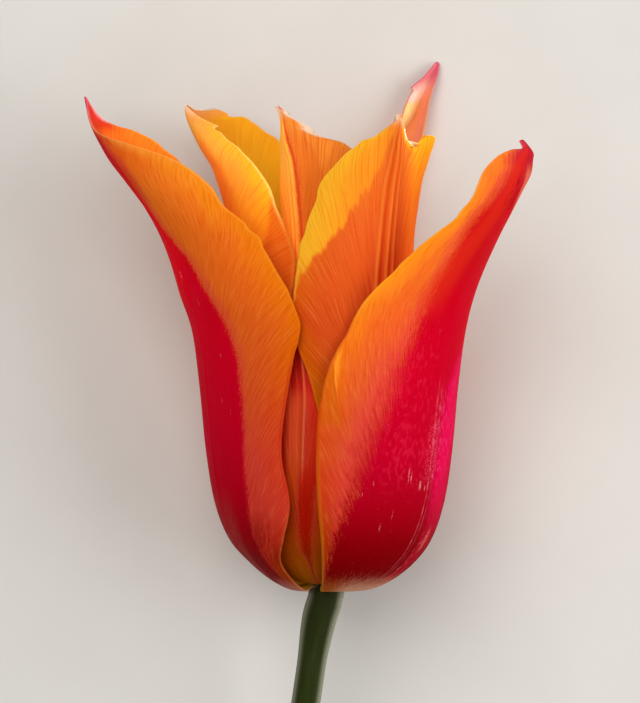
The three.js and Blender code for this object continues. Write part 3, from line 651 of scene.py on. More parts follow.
def make_stem(finishes):
    bm = make_tube(stem_rings())
    bm.faces.ensure_lookup_table()
    end = min(bm.faces, key=lambda face: face.calc_center_median().y)
    end.material_index = 1
    bmesh.ops.inset_region(bm, faces=[end], thickness=CUT_RIM * MM, depth=-CUT_DIP * MM)
    piece = add_piece("stem_grown", bm, finishes)
    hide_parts("stem_and_stamens")


def make_stamens(filament_finish, anther_finish):
    for number, azimuth in enumerate(STAMEN_AZIMUTHS, 1):
        bm = make_tube(stalk_rings(FILAMENT, azimuth, plain_round))
        add_piece(f"filament_{number}", bm, [filament_finish])
        bm = make_tube(stalk_rings(ANTHER, azimuth, two_lobes))
        add_piece(f"anther_{number}", bm, [anther_finish])


def make_pistil(finish):
    piece = add_piece("pistil_grown", make_tube(pistil_rings()), [finish])
    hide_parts("pistil")


# Finishes


def shade(red, green, blue):
    """A colour as light, from its red, green and blue on a 0 to 255 scale."""
    parts = [value / 255 for value in (red, green, blue)]
    light = [c / 12.92 if c <= 0.04045 else ((c + 0.055) / 1.055) ** 2.4 for c in parts]
    return (*light, 1)


def sum_of(operation, swapped=False):
    """A method that works out a sum of a wire and another wire or number."""

    def method(wire, other):
        values = (other, wire) if swapped else (wire, other)
        return wire.finish.node("Math", {"operation": operation}, dict(enumerate(values)))

    return method


class Wire:
    """An output of one of a finish's nodes, for use in sums and patterns."""

    def __init__(self, finish, socket):
        self.finish = finish
        self.socket = socket

    __add__ = __radd__ = sum_of("ADD")
    __mul__ = __rmul__ = sum_of("MULTIPLY")
    __sub__ = sum_of("SUBTRACT")
    __rsub__ = sum_of("SUBTRACT", swapped=True)
    least = sum_of("MINIMUM")

    def __abs__(self):
        return self.finish.node("Math", {"operation": "ABSOLUTE"}, {0: self})

    def sway(self, reach):
        """How far a pattern is from its middle level, times a reach."""
        return (self - 0.5) * reach

    def step(self, low, high):
        """0 below the low level and 1 above the high one, smoothly between."""
        settings = {"interpolation_type": "SMOOTHSTEP"}
        return self.finish.node("MapRange", settings, {"Value": self, "From Min": low, "From Max": high})

    def line(self, width):
        """1 at level 0, falling to 0 at a width either side."""
        return 1 - abs(self).step(0, width)

    def window(self, low, high, fade):
        """1 between two levels, falling to 0 beyond them."""
        return self.step(low - fade, low) * (1 - self.step(high, high + fade))

    def parts(self):
        """The three numbers of a vector or a colour."""
        first = self.finish.node("SeparateXYZ", {}, {0: self})
        return [Wire(self.finish, socket) for socket in first.socket.node.outputs]

    def ramp(self, stops):
        """Colours along the levels, from [level, red, green, blue] stops."""
        stops = [(level, shade(*colour)) for level, *colour in stops]
        return self.finish.node("ValToRGB", {"stops": stops}, {0: self})

    def track(self, stops):
        """A number from -1 to 1 along the levels, from [level, number] stops."""
        stops = [(level, (0.5 * (number + 1),) * 3 + (1,)) for level, number in stops]
        return 2 * self.finish.node("ValToRGB", {"stops": stops}, {0: self}).parts()[0] - 1


class Finish:
    """A material on one shader, with what changes over its surface worked out by nodes."""

    def __init__(self, name, constants):
        self.material = bpy.data.materials.new(name)
        self.material.use_nodes = True
        self.tree = self.material.node_tree
        self.tree.nodes.clear()
        self.shader = self.tree.nodes.new("ShaderNodeBsdfPrincipled")
        output = self.tree.nodes.new("ShaderNodeOutputMaterial")
        self.tree.links.new(self.shader.outputs[0], output.inputs[0])
        for socket, value in constants.items():
            self.shader.inputs[socket].default_value = value

    def feed(self, socket, value):
        if isinstance(value, Wire):
            self.tree.links.new(value.socket, socket)
        else:
            socket.default_value = value

    def node(self, kind, settings, inputs, output=0):
        """A node of one kind, its settings first and then its sockets, as the wire of an output."""
        made = self.tree.nodes.new("ShaderNode" + kind)
        for name, value in settings.items():
            if name == "stops":
                self.set_stops(made.color_ramp.elements, value)
            else:
                setattr(made, name, value)
        for socket, value in inputs.items():
            self.feed(made.inputs[socket], value)
        return Wire(self, made.outputs[output])

    def set_stops(self, elements, stops):
        while len(elements) < len(stops):
            elements.new(1)
        while len(elements) > len(stops):
            elements.remove(elements[-1])
        for element, (position, colour) in zip(elements, stops):
            element.position = position
            element.color = colour

    def spots(self, layer_name):
        """The two surface coordinates of a layer."""
        return self.node("UVMap", {"uv_map": layer_name}, {}).parts()[:2]

    def noise(self, x, y, z, detail=2):
        place = self.node("CombineXYZ", {}, {0: x, 1: y, 2: z})
        return self.node("TexNoise", {}, {"Vector": place, "Scale": 1, "Detail": detail})

    def pattern(self, kind, scale, **inputs):
        """A pattern all through the piece, by its place in metres."""
        place = self.node("TexCoord", {}, {}, "Object")
        return self.node(kind, {}, {"Vector": place, "Scale": scale, **inputs})

    def mix(self, below, above, amount, blend="MIX"):
        """One colour over another by an amount. A colour is a wire, or red, green and blue to 255."""
        settings = {"data_type": "RGBA", "blend_type": blend}
        below, above = (c if isinstance(c, Wire) else shade(*c) for c in (below, above))
        return self.node("Mix", settings, {0: amount, 6: below, 7: above}, 2)

    def paint(self, colour, amount, blend="MIX"):
        """A colour over what is painted so far."""
        self.colour = self.mix(self.colour, colour, amount, blend)

    def bump(self, height, distance):
        return self.node("Bump", {}, {"Height": height, "Distance": distance * MM, "Strength": 1})

    def finished(self, **wires):
        """The material, once its shader is fed with what is painted and with these wires."""
        for socket, wire in {"base_color": self.colour, **wires}.items():
            self.feed(self.shader.inputs[socket.replace("_", " ").title()], wire)
        return self.material


PETAL_CONSTANTS = {
    "Specular IOR Level": 0.005,
    "Subsurface Weight": 0.08,
    "Subsurface Radius": (0.9, 0.2, 0.05),
    "Subsurface Scale": 0.0012,
    "Emission Strength": 1,
}
# The red of the outer petals' flames, as [s, red, green, blue] stops
CRIMSON = [[0, 130, 40, 24], [0.07, 134, 16, 8], [0.13, 126, 0, 4], [0.2, 138, 0, 8], [0.27, 166, 0, 22],
           [0.36, 190, 0, 36], [0.5, 204, 0, 36], [0.65, 208, 0, 28], [0.85, 210, 20, 20],
           [0.96, 200, 34, 50]]

# How the petals are coloured. Colours are [s, red, green, blue] stops, and other lists are [s, number] ones.
# body, margin and edge, the colours of the face, of the zone that starts at rim and of the outermost line
# low and high, where the flame's two edges lie, in t, and where low is left out it mirrors high
# flame and strength, its colour and how full it is
# soft, feather and haze, how wide its edges fade, how frayed they are and how far they tint the rest
# tip and tip_start, the tip's colour and the s where it starts
# glow and lit_side, how much painted glow stands in for light shining through, and the two values of t
# between which it gets full
# veins and breaks, how strong the veins are, and how often they are broken in a mm
USUAL_LOOK = {
    "strength": 1,
    "feather": 1,
    "haze": [[0, 0.01]],
    "lit_side": [-0.1, 0.5],
    "breaks": 0.12,
}
# The outer face of each petal
LOOKS = {
    "petal_outer_left": {
        "body": [[0, 186, 104, 10], [0.06, 176, 54, 8], [0.13, 182, 34, 14], [0.22, 206, 54, 42],
                 [0.33, 216, 64, 48], [0.42, 220, 80, 36], [0.55, 230, 98, 28], [0.7, 238, 110, 28],
                 [0.82, 244, 122, 32], [0.9, 236, 104, 26], [0.94, 226, 76, 40], [0.97, 216, 50, 40]],
        "margin": [[0, 190, 110, 20], [0.08, 156, 64, 6], [0.15, 170, 36, 6], [0.24, 216, 60, 42],
                   [0.4, 222, 72, 28], [0.5, 226, 98, 8], [0.6, 228, 112, 8], [0.72, 236, 124, 14],
                   [0.86, 246, 142, 28], [0.93, 248, 146, 54], [0.955, 222, 60, 40]],
        "edge": [[0, 206, 140, 50], [0.1, 200, 90, 40], [0.2, 206, 90, 40], [0.27, 190, 44, 26],
                 [0.48, 190, 50, 12], [0.56, 214, 104, 6], [0.75, 246, 150, 36], [0.91, 252, 170, 80],
                 [0.95, 240, 140, 110], [0.985, 236, 110, 130]],
        "high": [[0, 0.8], [0.1, 0.75], [0.15, 0.62], [0.2, 0.53], [0.26, 0.52], [0.37, 0.575],
                 [0.43, 0.56], [0.5, 0.49], [0.56, 0.38], [0.63, 0.3], [0.68, 0.23], [0.71, 0.14],
                 [0.74, 0.09], [0.78, 0.14], [0.84, 0.28], [0.9, 0.4], [0.96, 0.5]],
        "low": [[0, -0.62], [0.3, -0.66], [0.5, -0.55], [0.65, -0.42], [0.8, -0.3], [0.95, -0.25]],
        "flame": [[0, 140, 54, 36], [0.07, 140, 30, 24], [0.13, 136, 14, 18], [0.2, 158, 2, 16],
                  [0.27, 182, 0, 26], [0.36, 200, 0, 34], [0.5, 214, 0, 34], [0.65, 220, 0, 28],
                  [0.85, 220, 26, 26], [0.96, 206, 40, 56]],
        "soft": [[0, 0.06], [0.2, 0.03], [0.7, 0.025], [0.8, 0.1], [0.92, 0.16]],
        "rim": 0.62, "feather": 0.5, "haze": [[0, 0.02], [0.4, 0.03], [0.6, 0.08]], "tip": [224, 62, 74],
        "tip_start": 0.945, "glow": [[0.5, 0], [0.65, 0.14]], "lit_side": [0.3, -0.05], "breaks": 0.25,
        "veins": 0.4,
    },
    "petal_outer_right": {
        "body": [[0, 190, 110, 20], [0.06, 150, 40, 10], [0.12, 140, 22, 4], [0.18, 160, 38, 6],
                 [0.25, 190, 64, 28], [0.32, 202, 72, 36], [0.42, 212, 80, 46], [0.52, 222, 84, 44],
                 [0.62, 236, 96, 36], [0.75, 242, 112, 34], [0.94, 240, 110, 40]],
        "margin": [[0, 214, 140, 30], [0.1, 160, 60, 4], [0.2, 172, 50, 4], [0.3, 206, 64, 26],
                   [0.42, 216, 80, 26], [0.52, 232, 106, 22], [0.62, 246, 126, 22], [0.7, 252, 146, 24],
                   [0.82, 248, 142, 24], [0.94, 242, 130, 40]],
        "edge": [[0, 214, 150, 60], [0.12, 196, 120, 20], [0.25, 206, 104, 14], [0.45, 214, 70, 14],
                 [0.5, 226, 110, 20], [0.6, 240, 110, 30], [0.66, 252, 164, 40], [0.85, 252, 176, 50],
                 [0.95, 252, 170, 100], [0.985, 230, 130, 130]],
        "low": [[0, -1], [0.08, -1], [0.16, -0.93], [0.2, -0.89], [0.25, -0.83], [0.3, -0.77],
                [0.35, -0.72], [0.4, -0.68], [0.47, -0.57], [0.53, -0.53], [0.6, -0.43], [0.68, -0.38],
                [0.73, -0.44], [0.78, -0.57], [0.84, -0.7], [0.9, -0.62], [0.94, -0.52], [0.98, -0.9]],
        "high": [[0, 0.75], [0.3, 0.75], [0.5, 0.65], [0.7, 0.6], [0.9, 0.6], [1, 0.9]],
        "flame": CRIMSON,
        "soft": [[0, 0.04], [0.25, 0.05], [0.38, 0.14], [0.55, 0.11], [0.7, 0.06], [0.8, 0.12],
                 [0.95, 0.2]],
        "rim": 0.66, "feather": 1.2, "haze": [[0.2, 0.02], [0.35, 0.14], [0.5, 0.12], [0.6, 0.12]],
        "tip": [196, 60, 84], "tip_start": 0.978, "glow": [[0.2, 0], [0.5, 0.02]],
        "lit_side": [0.1, -0.5], "breaks": 0.3, "veins": 0.34,
    },
    "petal_outer_back": {
        "body": [[0, 196, 130, 30], [0.08, 200, 70, 20], [0.3, 212, 70, 30], [0.6, 236, 100, 26],
                 [0.85, 246, 120, 50], [0.95, 226, 100, 110]],
        "margin": [[0, 214, 140, 30], [0.2, 206, 70, 20], [0.5, 236, 120, 20], [0.85, 250, 150, 50],
                   [0.95, 230, 120, 120]],
        "edge": [[0, 214, 150, 60], [0.4, 220, 90, 20], [0.7, 244, 140, 80], [0.93, 246, 160, 110],
                 [0.95, 246, 170, 150], [0.97, 230, 110, 134]],
        "high": [[0, 0.7], [0.3, 0.66], [0.5, 0.55], [0.65, 0.42], [0.8, 0.35], [0.95, 0.5]],
        "flame": CRIMSON,
        "soft": [[0, 0.05], [0.7, 0.05], [0.9, 0.15]],
        "rim": 0.62, "feather": 0.8, "tip": [220, 84, 112], "tip_start": 0.96, "glow": [[0.5, 0.05]],
        "breaks": 0.15, "veins": 0.35,
    },
    "petal_inner_left": {
        "body": [[0, 196, 140, 30], [0.1, 206, 96, 20], [0.3, 212, 76, 18], [0.55, 220, 88, 22],
                 [0.66, 230, 106, 26], [0.72, 250, 130, 22], [0.78, 255, 160, 36], [0.88, 255, 178, 60],
                 [0.94, 255, 180, 66], [0.98, 250, 166, 80]],
        "margin": [[0, 214, 160, 40], [0.3, 214, 78, 16], [0.64, 228, 90, 16], [0.74, 250, 140, 22],
                   [0.84, 255, 192, 32], [0.97, 255, 186, 50]],
        "edge": [[0, 214, 160, 60], [0.4, 214, 80, 20], [0.74, 244, 130, 40], [0.82, 255, 216, 110],
                 [0.96, 255, 206, 110], [0.985, 255, 236, 214]],
        "high": [[0, 0.4], [0.3, 0.4], [0.5, 0.25], [0.65, 0.1], [0.75, -0.2]],
        "flame": [[0, 150, 60, 10], [0.12, 180, 30, 16], [0.5, 214, 40, 24], [0.8, 230, 90, 30]],
        "soft": [[0, 0.25]],
        "rim": 0.7, "strength": 0.6, "tip": [255, 224, 200], "tip_start": 0.99,
        "glow": [[0.55, 0.02], [0.7, 0.12], [0.8, 0.2]], "veins": 0.45,
    },
    "petal_inner_right": {
        "body": [[0, 190, 130, 20], [0.1, 200, 90, 16], [0.3, 206, 70, 18], [0.5, 206, 74, 20],
                 [0.6, 212, 78, 26], [0.7, 226, 90, 30], [0.8, 234, 100, 34], [0.92, 242, 122, 38],
                 [0.98, 246, 140, 50]],
        "margin": [[0, 200, 140, 20], [0.3, 200, 80, 10], [0.45, 200, 94, 2], [0.55, 202, 86, 6],
                   [0.65, 216, 90, 12], [0.75, 242, 114, 26], [0.85, 246, 130, 26], [0.94, 238, 154, 16]],
        "edge": [[0, 214, 150, 50], [0.4, 208, 112, 14], [0.6, 228, 110, 20], [0.68, 252, 186, 50],
                 [0.9, 255, 206, 60], [0.97, 255, 224, 140]],
        "low": [[0, -0.4], [0.3, -0.4], [0.5, -0.3], [0.65, -0.2], [0.8, -0.16], [0.95, -0.2]],
        "high": [[0, 0.4], [0.3, 0.4], [0.5, 0.2], [0.65, 0.05], [0.8, 0], [0.95, 0]],
        "flame": [[0, 150, 60, 10], [0.12, 180, 30, 16], [0.5, 218, 44, 24], [0.7, 234, 66, 28],
                  [0.85, 234, 88, 24]],
        "soft": [[0, 0.35], [0.8, 0.25]],
        "rim": 0.6, "strength": 0.7, "tip": [255, 226, 200], "tip_start": 0.985,
        "glow": [[0.5, 0.16], [0.65, 0.36]], "veins": 0.5,
    },
    "petal_inner_front": {
        "body": [[0, 156, 94, 2], [0.1, 172, 80, 0], [0.2, 184, 62, 2], [0.27, 202, 68, 14],
                 [0.34, 220, 78, 38], [0.45, 226, 72, 38], [0.55, 232, 76, 28], [0.65, 246, 98, 24],
                 [0.8, 252, 132, 34], [0.97, 252, 146, 54]],
        "margin": [[0, 170, 110, 4], [0.2, 180, 66, 2], [0.4, 210, 80, 16], [0.7, 244, 112, 26],
                   [0.9, 255, 166, 60]],
        "edge": [[0, 200, 140, 50], [0.4, 200, 70, 20], [0.8, 250, 140, 50], [0.93, 255, 186, 96],
                 [0.955, 255, 196, 110], [0.965, 255, 230, 200]],
        "low": [[0, 0], [0.11, -0.03], [0.14, -0.12], [0.22, -0.12], [0.28, -0.08], [0.32, 0],
                [0.5, 0.02], [0.65, 0.05]],
        "high": [[0, 0], [0.11, 0], [0.14, 0.03], [0.2, 0.08], [0.27, 0.1], [0.31, 0.3], [0.36, 0.5],
                 [0.5, 0.5], [0.6, 0.2], [0.68, 0]],
        "flame": [[0, 120, 50, 0], [0.12, 150, 26, 0], [0.17, 172, 8, 0], [0.25, 190, 14, 8],
                  [0.35, 222, 42, 24], [0.45, 226, 40, 18], [0.6, 220, 48, 16]],
        "soft": [[0, 0.08], [0.28, 0.06], [0.36, 0.1]],
        "rim": 0.75, "strength": 0.9, "feather": 0.7, "haze": [[0, 0.04]], "tip": [255, 216, 190],
        "tip_start": 0.98, "glow": [[0.55, 0], [0.7, 0.24]], "lit_side": [0.12, -0.05], "breaks": 0.15,
        "veins": 0.34,
    },
}
# The inner face of any petal
INSIDE_LOOK = {
    "body": [[0, 200, 170, 40], [0.16, 226, 150, 30], [0.3, 230, 100, 24], [0.6, 234, 104, 22],
             [0.8, 240, 126, 22], [0.95, 240, 130, 40]],
    "margin": [[0, 214, 180, 50], [0.3, 236, 130, 30], [0.7, 246, 150, 26], [0.95, 240, 150, 50]],
    "edge": [[0, 220, 180, 70], [0.5, 240, 130, 40], [0.9, 252, 180, 80]],
    "high": [[0, 0.2], [0.3, 0.35], [0.6, 0.3], [0.9, 0.1]],
    "flame": [[0, 214, 160, 30], [0.2, 226, 100, 30], [0.5, 226, 70, 34], [0.9, 232, 90, 40]],
    "soft": [[0, 0.4]],
    "rim": 0.62, "strength": 0.5, "tip": [236, 150, 90], "tip_start": 0.96, "glow": [[0, 0.05]],
    "veins": 0.4,
}
# What some petals' inner faces have instead
INSIDE_CHANGES = {
    "petal_inner_left": {
        "body": [[0, 200, 170, 40], [0.16, 226, 150, 30], [0.4, 240, 130, 24], [0.65, 248, 162, 28],
                 [0.82, 248, 182, 32], [0.9, 240, 164, 30], [0.95, 236, 154, 30]],
        "margin": [[0, 214, 180, 50], [0.5, 252, 160, 24], [0.9, 250, 176, 30]],
        "strength": 0.1, "veins": 0.25,
    },
    "petal_outer_left": {
        "body": [[0, 200, 170, 40], [0.16, 226, 150, 30], [0.4, 228, 100, 14], [0.8, 244, 130, 24],
                 [0.92, 240, 112, 30], [0.94, 218, 62, 30], [0.98, 214, 52, 50]],
        "margin": [[0, 214, 180, 50], [0.5, 236, 120, 18], [0.91, 244, 132, 34], [0.935, 240, 118, 40],
                   [0.96, 226, 90, 70]],
        "edge": [[0, 220, 180, 70], [0.5, 240, 130, 40], [0.93, 250, 160, 60], [0.955, 255, 200, 180]],
        "glow": [[0.7, 0], [0.85, 0.14]], "lit_side": [0.1, -0.5], "strength": 0, "tip": [222, 84, 96],
        "tip_start": 0.985,
    },
    "petal_outer_back": {
        "body": [[0, 200, 170, 40], [0.16, 226, 150, 30], [0.4, 240, 130, 40], [0.7, 252, 150, 60],
                 [0.93, 254, 160, 100], [0.955, 255, 180, 170]],
        "margin": [[0, 214, 180, 50], [0.3, 240, 140, 36], [0.7, 252, 180, 60], [0.93, 252, 180, 130]],
        "strength": 0, "tip": [232, 104, 134], "tip_start": 0.962, "veins": 0.15,
    },
}


# Patterns that run along the veins, as [how close across them, how close along them, seed, detail]. By the
# midrib the veins are wider, and a look's breaks says how often the others are broken.
BROAD_STREAKS = [6, 0.03, 0, 2]
NEAR_VEINS = [24, 0.08, 3, 1]
FAR_VEINS = 60
VEIN_CHANGE = [3, 8]  # mm out from the midrib between which the near veins turn into the far ones
HAIRS = [75, 0.5, 6, 2]
# Patterns over the petal, as [how many across half of it, how many along it, seed, detail]
CLOUDS = [3, 7, 12, 2]
MOTTLES = [34, 62, 15, 2]
GRAINS = 4000  # to a metre
VEIN_DEPTH = 0.1
SIDE_CHANGE = 0.004  # half width, in t, of the seam between the patterns of a petal's two sides
EDGE_LINE = [0.96, 0.99]  # t where the outermost line begins and is full
# Colours that the petals share
VEIN_BROWN = [238, 178, 130]
VEIN_GOLD = [255, 180, 90]
FLAME_ROSE = [226, 16, 60]
FLAME_DARK = [130, 0, 10]
FLAME_HAZE = [224, 54, 60]
SCRATCH_PINK = [240, 160, 160]
POWDER_PINK = [250, 190, 190]


class PetalFinish(Finish):
    """The finish of one face of a petal, with the places on it and the patterns that its marks use."""

    def __init__(self, name, look, seed):
        super().__init__(name, PETAL_CONSTANTS)
        self.look = look
        u, self.s = self.spots("petal")
        self.t = 2 * u - 1
        fan, along = self.spots("veins")
        out, _ = self.spots("spread")
        self.seed = seed + 2 * self.t.step(-SIDE_CHANGE, SIDE_CHANGE)
        self.broad = self.strewn(fan, along, BROAD_STREAKS)
        near = self.strewn(fan, along, NEAR_VEINS)
        far = self.strewn(fan, along, [FAR_VEINS, look["breaks"], *NEAR_VEINS[2:]])
        self.fine = near + (far - near) * out.step(*VEIN_CHANGE)
        self.hair = self.strewn(fan, along, HAIRS)
        self.grain = self.pattern("TexNoise", GRAINS, Detail=2)
        self.cloud = self.strewn(self.t, self.s, CLOUDS)
        self.mottle = self.strewn(self.t, self.s, MOTTLES)

    def strewn(self, x, y, pattern):
        """A pattern over two coordinates, which is another one on either side of the midrib."""
        across, along, seed, detail = pattern
        return self.noise(x * across, y * along, self.seed + seed, detail)

    def paint_body(self):
        self.colour = self.s.ramp(self.look["body"])
        rim = (abs(self.t) + self.broad.sway(0.3) + self.hair.sway(0.1)).step(self.look["rim"], 1)
        self.paint(self.s.ramp(self.look["margin"]), rim)

    def paint_veins(self):
        veins = self.look["veins"]
        dark = (self.fine + self.hair.sway(0.3)).step(0.48, 0.66)
        self.paint(VEIN_BROWN, dark * veins, "MULTIPLY")
        pale = (1 - self.fine + self.hair.sway(0.5)).step(0.56, 0.7)
        self.paint(VEIN_GOLD, pale * veins * 0.22)

    def paint_flame(self):
        """The red flame along the midrib, with frayed edges that tint the colour beside them."""
        t, s, look = self.t, self.s, self.look
        wander = self.fine.sway(0.12) + self.hair.sway(0.1) + self.broad.sway(0.06) + self.mottle.sway(0.1)
        low_edge = look.get("low", [[place, -edge] for place, edge in look["high"]])
        inside = (s.track(look["high"]) - t).least(t - s.track(low_edge))
        inside = inside + wander * look["feather"] + self.grain.sway(0.14)
        soft = s.track(look["soft"])
        flame = inside.step(0 - soft, soft) * look["strength"]
        hue = s.ramp(look["flame"])
        rosy = self.cloud.step(0.5, 0.75) * s.step(0.25, 0.4)
        hue = self.mix(hue, FLAME_ROSE, rosy * 0.25)
        hue = self.mix(hue, FLAME_DARK, self.fine.step(0.5, 0.7) * 0.14)
        wide = s.track(look["haze"])
        haze = (inside + 0.5 * wide).line(wide + 0.01) * look["strength"]
        self.paint(FLAME_HAZE, haze * 0.42)
        self.paint(hue, flame)

    def paint_edges(self):
        """The tip's colour and the outermost line of the margins."""
        start = self.look["tip_start"]
        tip = (self.s + self.hair.sway(0.02)).step(start - 0.015, start + 0.02)
        self.paint(self.look["tip"], tip * 0.85)
        self.paint(self.s.ramp(self.look["edge"]), abs(self.t).step(*EDGE_LINE) * 0.7)

    def powdered(self):
        """The material, under a thin pale powder and with its glow, gloss and fine relief."""
        dust = self.grain.step(0.64, 0.76) * self.mottle.step(0.52, 0.62)
        self.paint(POWDER_PINK, dust * 0.08)
        # Painted glow: the petal's own colour given off as light where light would shine through it
        glow = self.s.track(self.look["glow"]) * self.t.step(*self.look["lit_side"])
        relief = self.fine * 0.6 + self.hair * 0.4 + self.grain * 0.1
        return self.finished(
            emission_color=self.mix([0, 0, 0], self.colour, glow),
            roughness=0.42 + 0.16 * self.broad,
            normal=self.bump(relief, VEIN_DEPTH),
        )


# Patches of light and shade under a petal's veins, and marks over them. The numbers beside t and s are
# places on the petal.


def flecks(f, spots):
    """Small pale scratches, as [t, s, half t, half s, amount]."""
    for t, s, half_t, half_s, amount in spots:
        fleck = (f.t - t).line(half_t) * (f.s - s).line(half_s)
        f.paint(SCRATCH_PINK, fleck * f.grain.step(0.4, 0.56) * amount)


def left_outer_marks(f):
    """Dark blotches low down, painted light shining through the edge underneath, painted sheen along the
    lower side and scratches by the midrib.
    """
    t, s = f.t, f.s
    low = s.window(0.1, 0.2, 0.05) * t.step(0.42, 0.6) * (f.mottle + f.cloud).step(0.98, 1.15)
    f.paint([136, 4, 4], low * 0.5)
    # Painted light shining through the bottom edge underneath
    backlit_rim = 1 - (s + f.hair.sway(0.02) + 0.04 * abs(t - 0.6)).step(0.055, 0.1)
    f.paint([220, 140, 124], backlit_rim * 0.55)
    # Painted pinkish sheen along the lower side, where the petal turns away
    side = t.window(-0.4, 0.16, 0.2) * s.track([[0.04, 0], [0.1, 1], [0.17, 0.6], [0.28, 0]])
    side = side * (0.5 + 0.5 * (f.mottle + f.hair.sway(0.4)).step(0.36, 0.66))
    f.paint([200, 110, 104], side * 0.36)
    flecks(f, [[-0.3, 0.3, 0.01, 0.014, 0.8], [-0.36, 0.27, 0.01, 0.022, 0.8],
               [-0.25, 0.305, 0.008, 0.01, 0.5], [0.3, 0.505, 0.012, 0.005, 0.5],
               [0.28, 0.43, 0.006, 0.006, 0.5], [0.4, 0.41, 0.006, 0.006, 0.4],
               [0.02, 0.65, 0.01, 0.012, 0.6], [0.16, 0.6, 0.006, 0.01, 0.4]])


def right_outer_patches(f):
    """Painted light on the fold in the near margin, and painted shade beyond it towards the margin."""
    t, s = f.t, f.s
    start = -1 + 1.26 * (0.565 - s)
    width = s.track([[0.47, 0.01], [0.52, 0.035], [0.56, 0.07]])
    # Painted light on the fold's crest
    lit = (t - start).step(-0.005, 0.005) * (1 - (t - start).step(0, width))
    f.paint([255, 156, 34], lit * s.step(0.475, 0.52) * (1 - s.step(0.56, 0.575)))
    # Painted shade beyond the fold, towards the margin
    under = 1 - (t - start).step(-0.006, 0.002)
    f.paint([210, 96, 12], under * s.window(0.44, 0.53, 0.02) * 0.7)


def right_outer_marks(f):
    """The midrib's pale double line, painted magenta reflection, sheen and glints down the side, a pale
    underside partly painted light, a painted highlight, scratches and tip colours.
    """
    t, s = f.t, f.s
    upper = s.step(0.6, 0.7) * (1 - t.step(-0.32, -0.12)) * t.step(-0.6, -0.4)
    f.paint([224, 40, 20], upper * 0.7)
    # Painted magenta reflection of the light down the right side
    start = s.track([[0.2, 0.02], [0.33, -0.05], [0.44, -0.04], [0.5, 0.02], [0.55, 0.15], [0.6, 0.35]])
    lit = (t - start).step(-0.05, 0.15) * (1 - (t + f.cloud.sway(0.4)).step(0.1, 0.5))
    lit = lit * s.window(0.32, 0.54, 0.12)
    f.paint([238, 0, 80], lit * 0.85)
    # Painted speckled sheen over the reflection
    sheen = (f.mottle + f.grain.sway(0.4)).step(0.5, 0.62)
    f.paint([246, 60, 130], lit * sheen * 0.3)
    # The painted reflection goes on, redder and fainter, lower down
    lower = t.window(0.1, 0.3, 0.08) * s.window(0.12, 0.3, 0.06)
    f.paint([190, 10, 40], lower * (0.4 + 0.3 * sheen))
    # Painted greyish pink sheen by the midrib
    sheen_band = (t + 0.03).line(0.11) * s.window(0.34, 0.46, 0.05) * sheen
    f.paint([226, 70, 116], sheen_band * 0.6)
    # Painted whitish glints low by the silhouette
    glints = (t - 0.1).line(0.06) * s.window(0.12, 0.2, 0.03) * f.mottle.step(0.54, 0.64)
    f.paint([240, 130, 150], glints * 0.5)
    lines = (t + 0.088 + f.hair.sway(0.01)).line(0.015) + (t + 0.045).line(0.012) * 0.6
    lines = lines * s.window(0.1, 0.47, 0.06) * (0.25 + 0.75 * f.mottle.step(0.45, 0.6))
    f.paint([226, 110, 124], lines * 0.45)
    speckle = t.window(-0.14, -0.03, 0.02) * s.window(0.34, 0.42, 0.03) * f.grain.step(0.52, 0.62)
    f.paint([240, 90, 120], speckle * 0.5)
    frost = t.window(-0.5, -0.2, 0.1) * s.window(0.34, 0.62, 0.06)
    frost = frost * (f.mottle + f.cloud.sway(0.5)).step(0.52, 0.6)
    f.paint([234, 40, 74], frost * 0.22)
    # Pale underside: partly its own paler colour, partly painted light shining through the bottom edge
    underside = 1 - (s + f.hair.sway(0.08) + f.mottle.sway(0.05)).step(0.05, 0.125)
    pale = f.mix([190, 104, 40], [236, 176, 138], t.step(-0.85, -0.4))
    f.paint(pale, underside * 0.7)
    # A small painted peach highlight
    light = (t - 0.175).line(0.06) * (s - 0.205).line(0.035) * f.grain.step(0.35, 0.55)
    f.paint([230, 120, 110], light * 0.8)
    band = (t + 0.03 + 4 * (s - 0.865)).line(0.1) * s.window(0.86, 0.94, 0.02)
    f.paint([170, 0, 14], band * f.cloud.step(0.35, 0.6) * 0.7)
    blotch = (f.mottle + f.cloud.sway(0.6)).step(0.5, 0.6) * s.step(0.84, 0.88)
    f.paint([166, 0, 16], blotch * t.window(-0.35, 0, 0.1) * 0.5)
    strip = (t + 3 * (s - 0.9) + f.hair.sway(0.1)).window(0.06, 0.3, 0.1) * s.window(0.87, 0.925, 0.03)
    f.paint([240, 124, 90], strip * 0.7)
    flecks(f, [[-0.31, 0.335, 0.008, 0.018, 0.8], [-0.285, 0.33, 0.006, 0.014, 0.7],
               [-0.18, 0.315, 0.02, 0.012, 0.9], [-0.12, 0.31, 0.008, 0.008, 0.6],
               [-0.5, 0.236, 0.008, 0.01, 0.6], [-0.41, 0.26, 0.005, 0.014, 0.35],
               [-0.6, 0.32, 0.006, 0.006, 0.5], [-0.68, 0.3, 0.005, 0.006, 0.4]])


def right_inner_patches(f):
    """Painted light on the upper left down to a slanting line, and more painted light on the top right."""
    t, s = f.t, f.s
    slant = (s - 0.905) * 3.35 - t - 0.253
    teeth = f.fine.sway(0.12) + f.broad.sway(0.36) + f.cloud.sway(0.16)
    # Painted light, ending at a jagged slanting line below which the petal keeps its darker orange
    patch = (slant.least(-0.26 - t) + teeth).step(-0.06, 0.01)
    lit = f.mix([250, 150, 34], [253, 184, 40], (0 - t).step(0.45, 0.95))
    f.paint(lit, patch * s.step(0.66, 0.74) * 0.95)
    # Painted light on the top right, which faces away from the lamps
    right = t.step(0.15, 0.5) * s.step(0.6, 0.75)
    f.paint(s.ramp([[0.6, 255, 118, 40], [0.84, 255, 140, 34], [0.94, 255, 176, 26]]), right * 0.85)


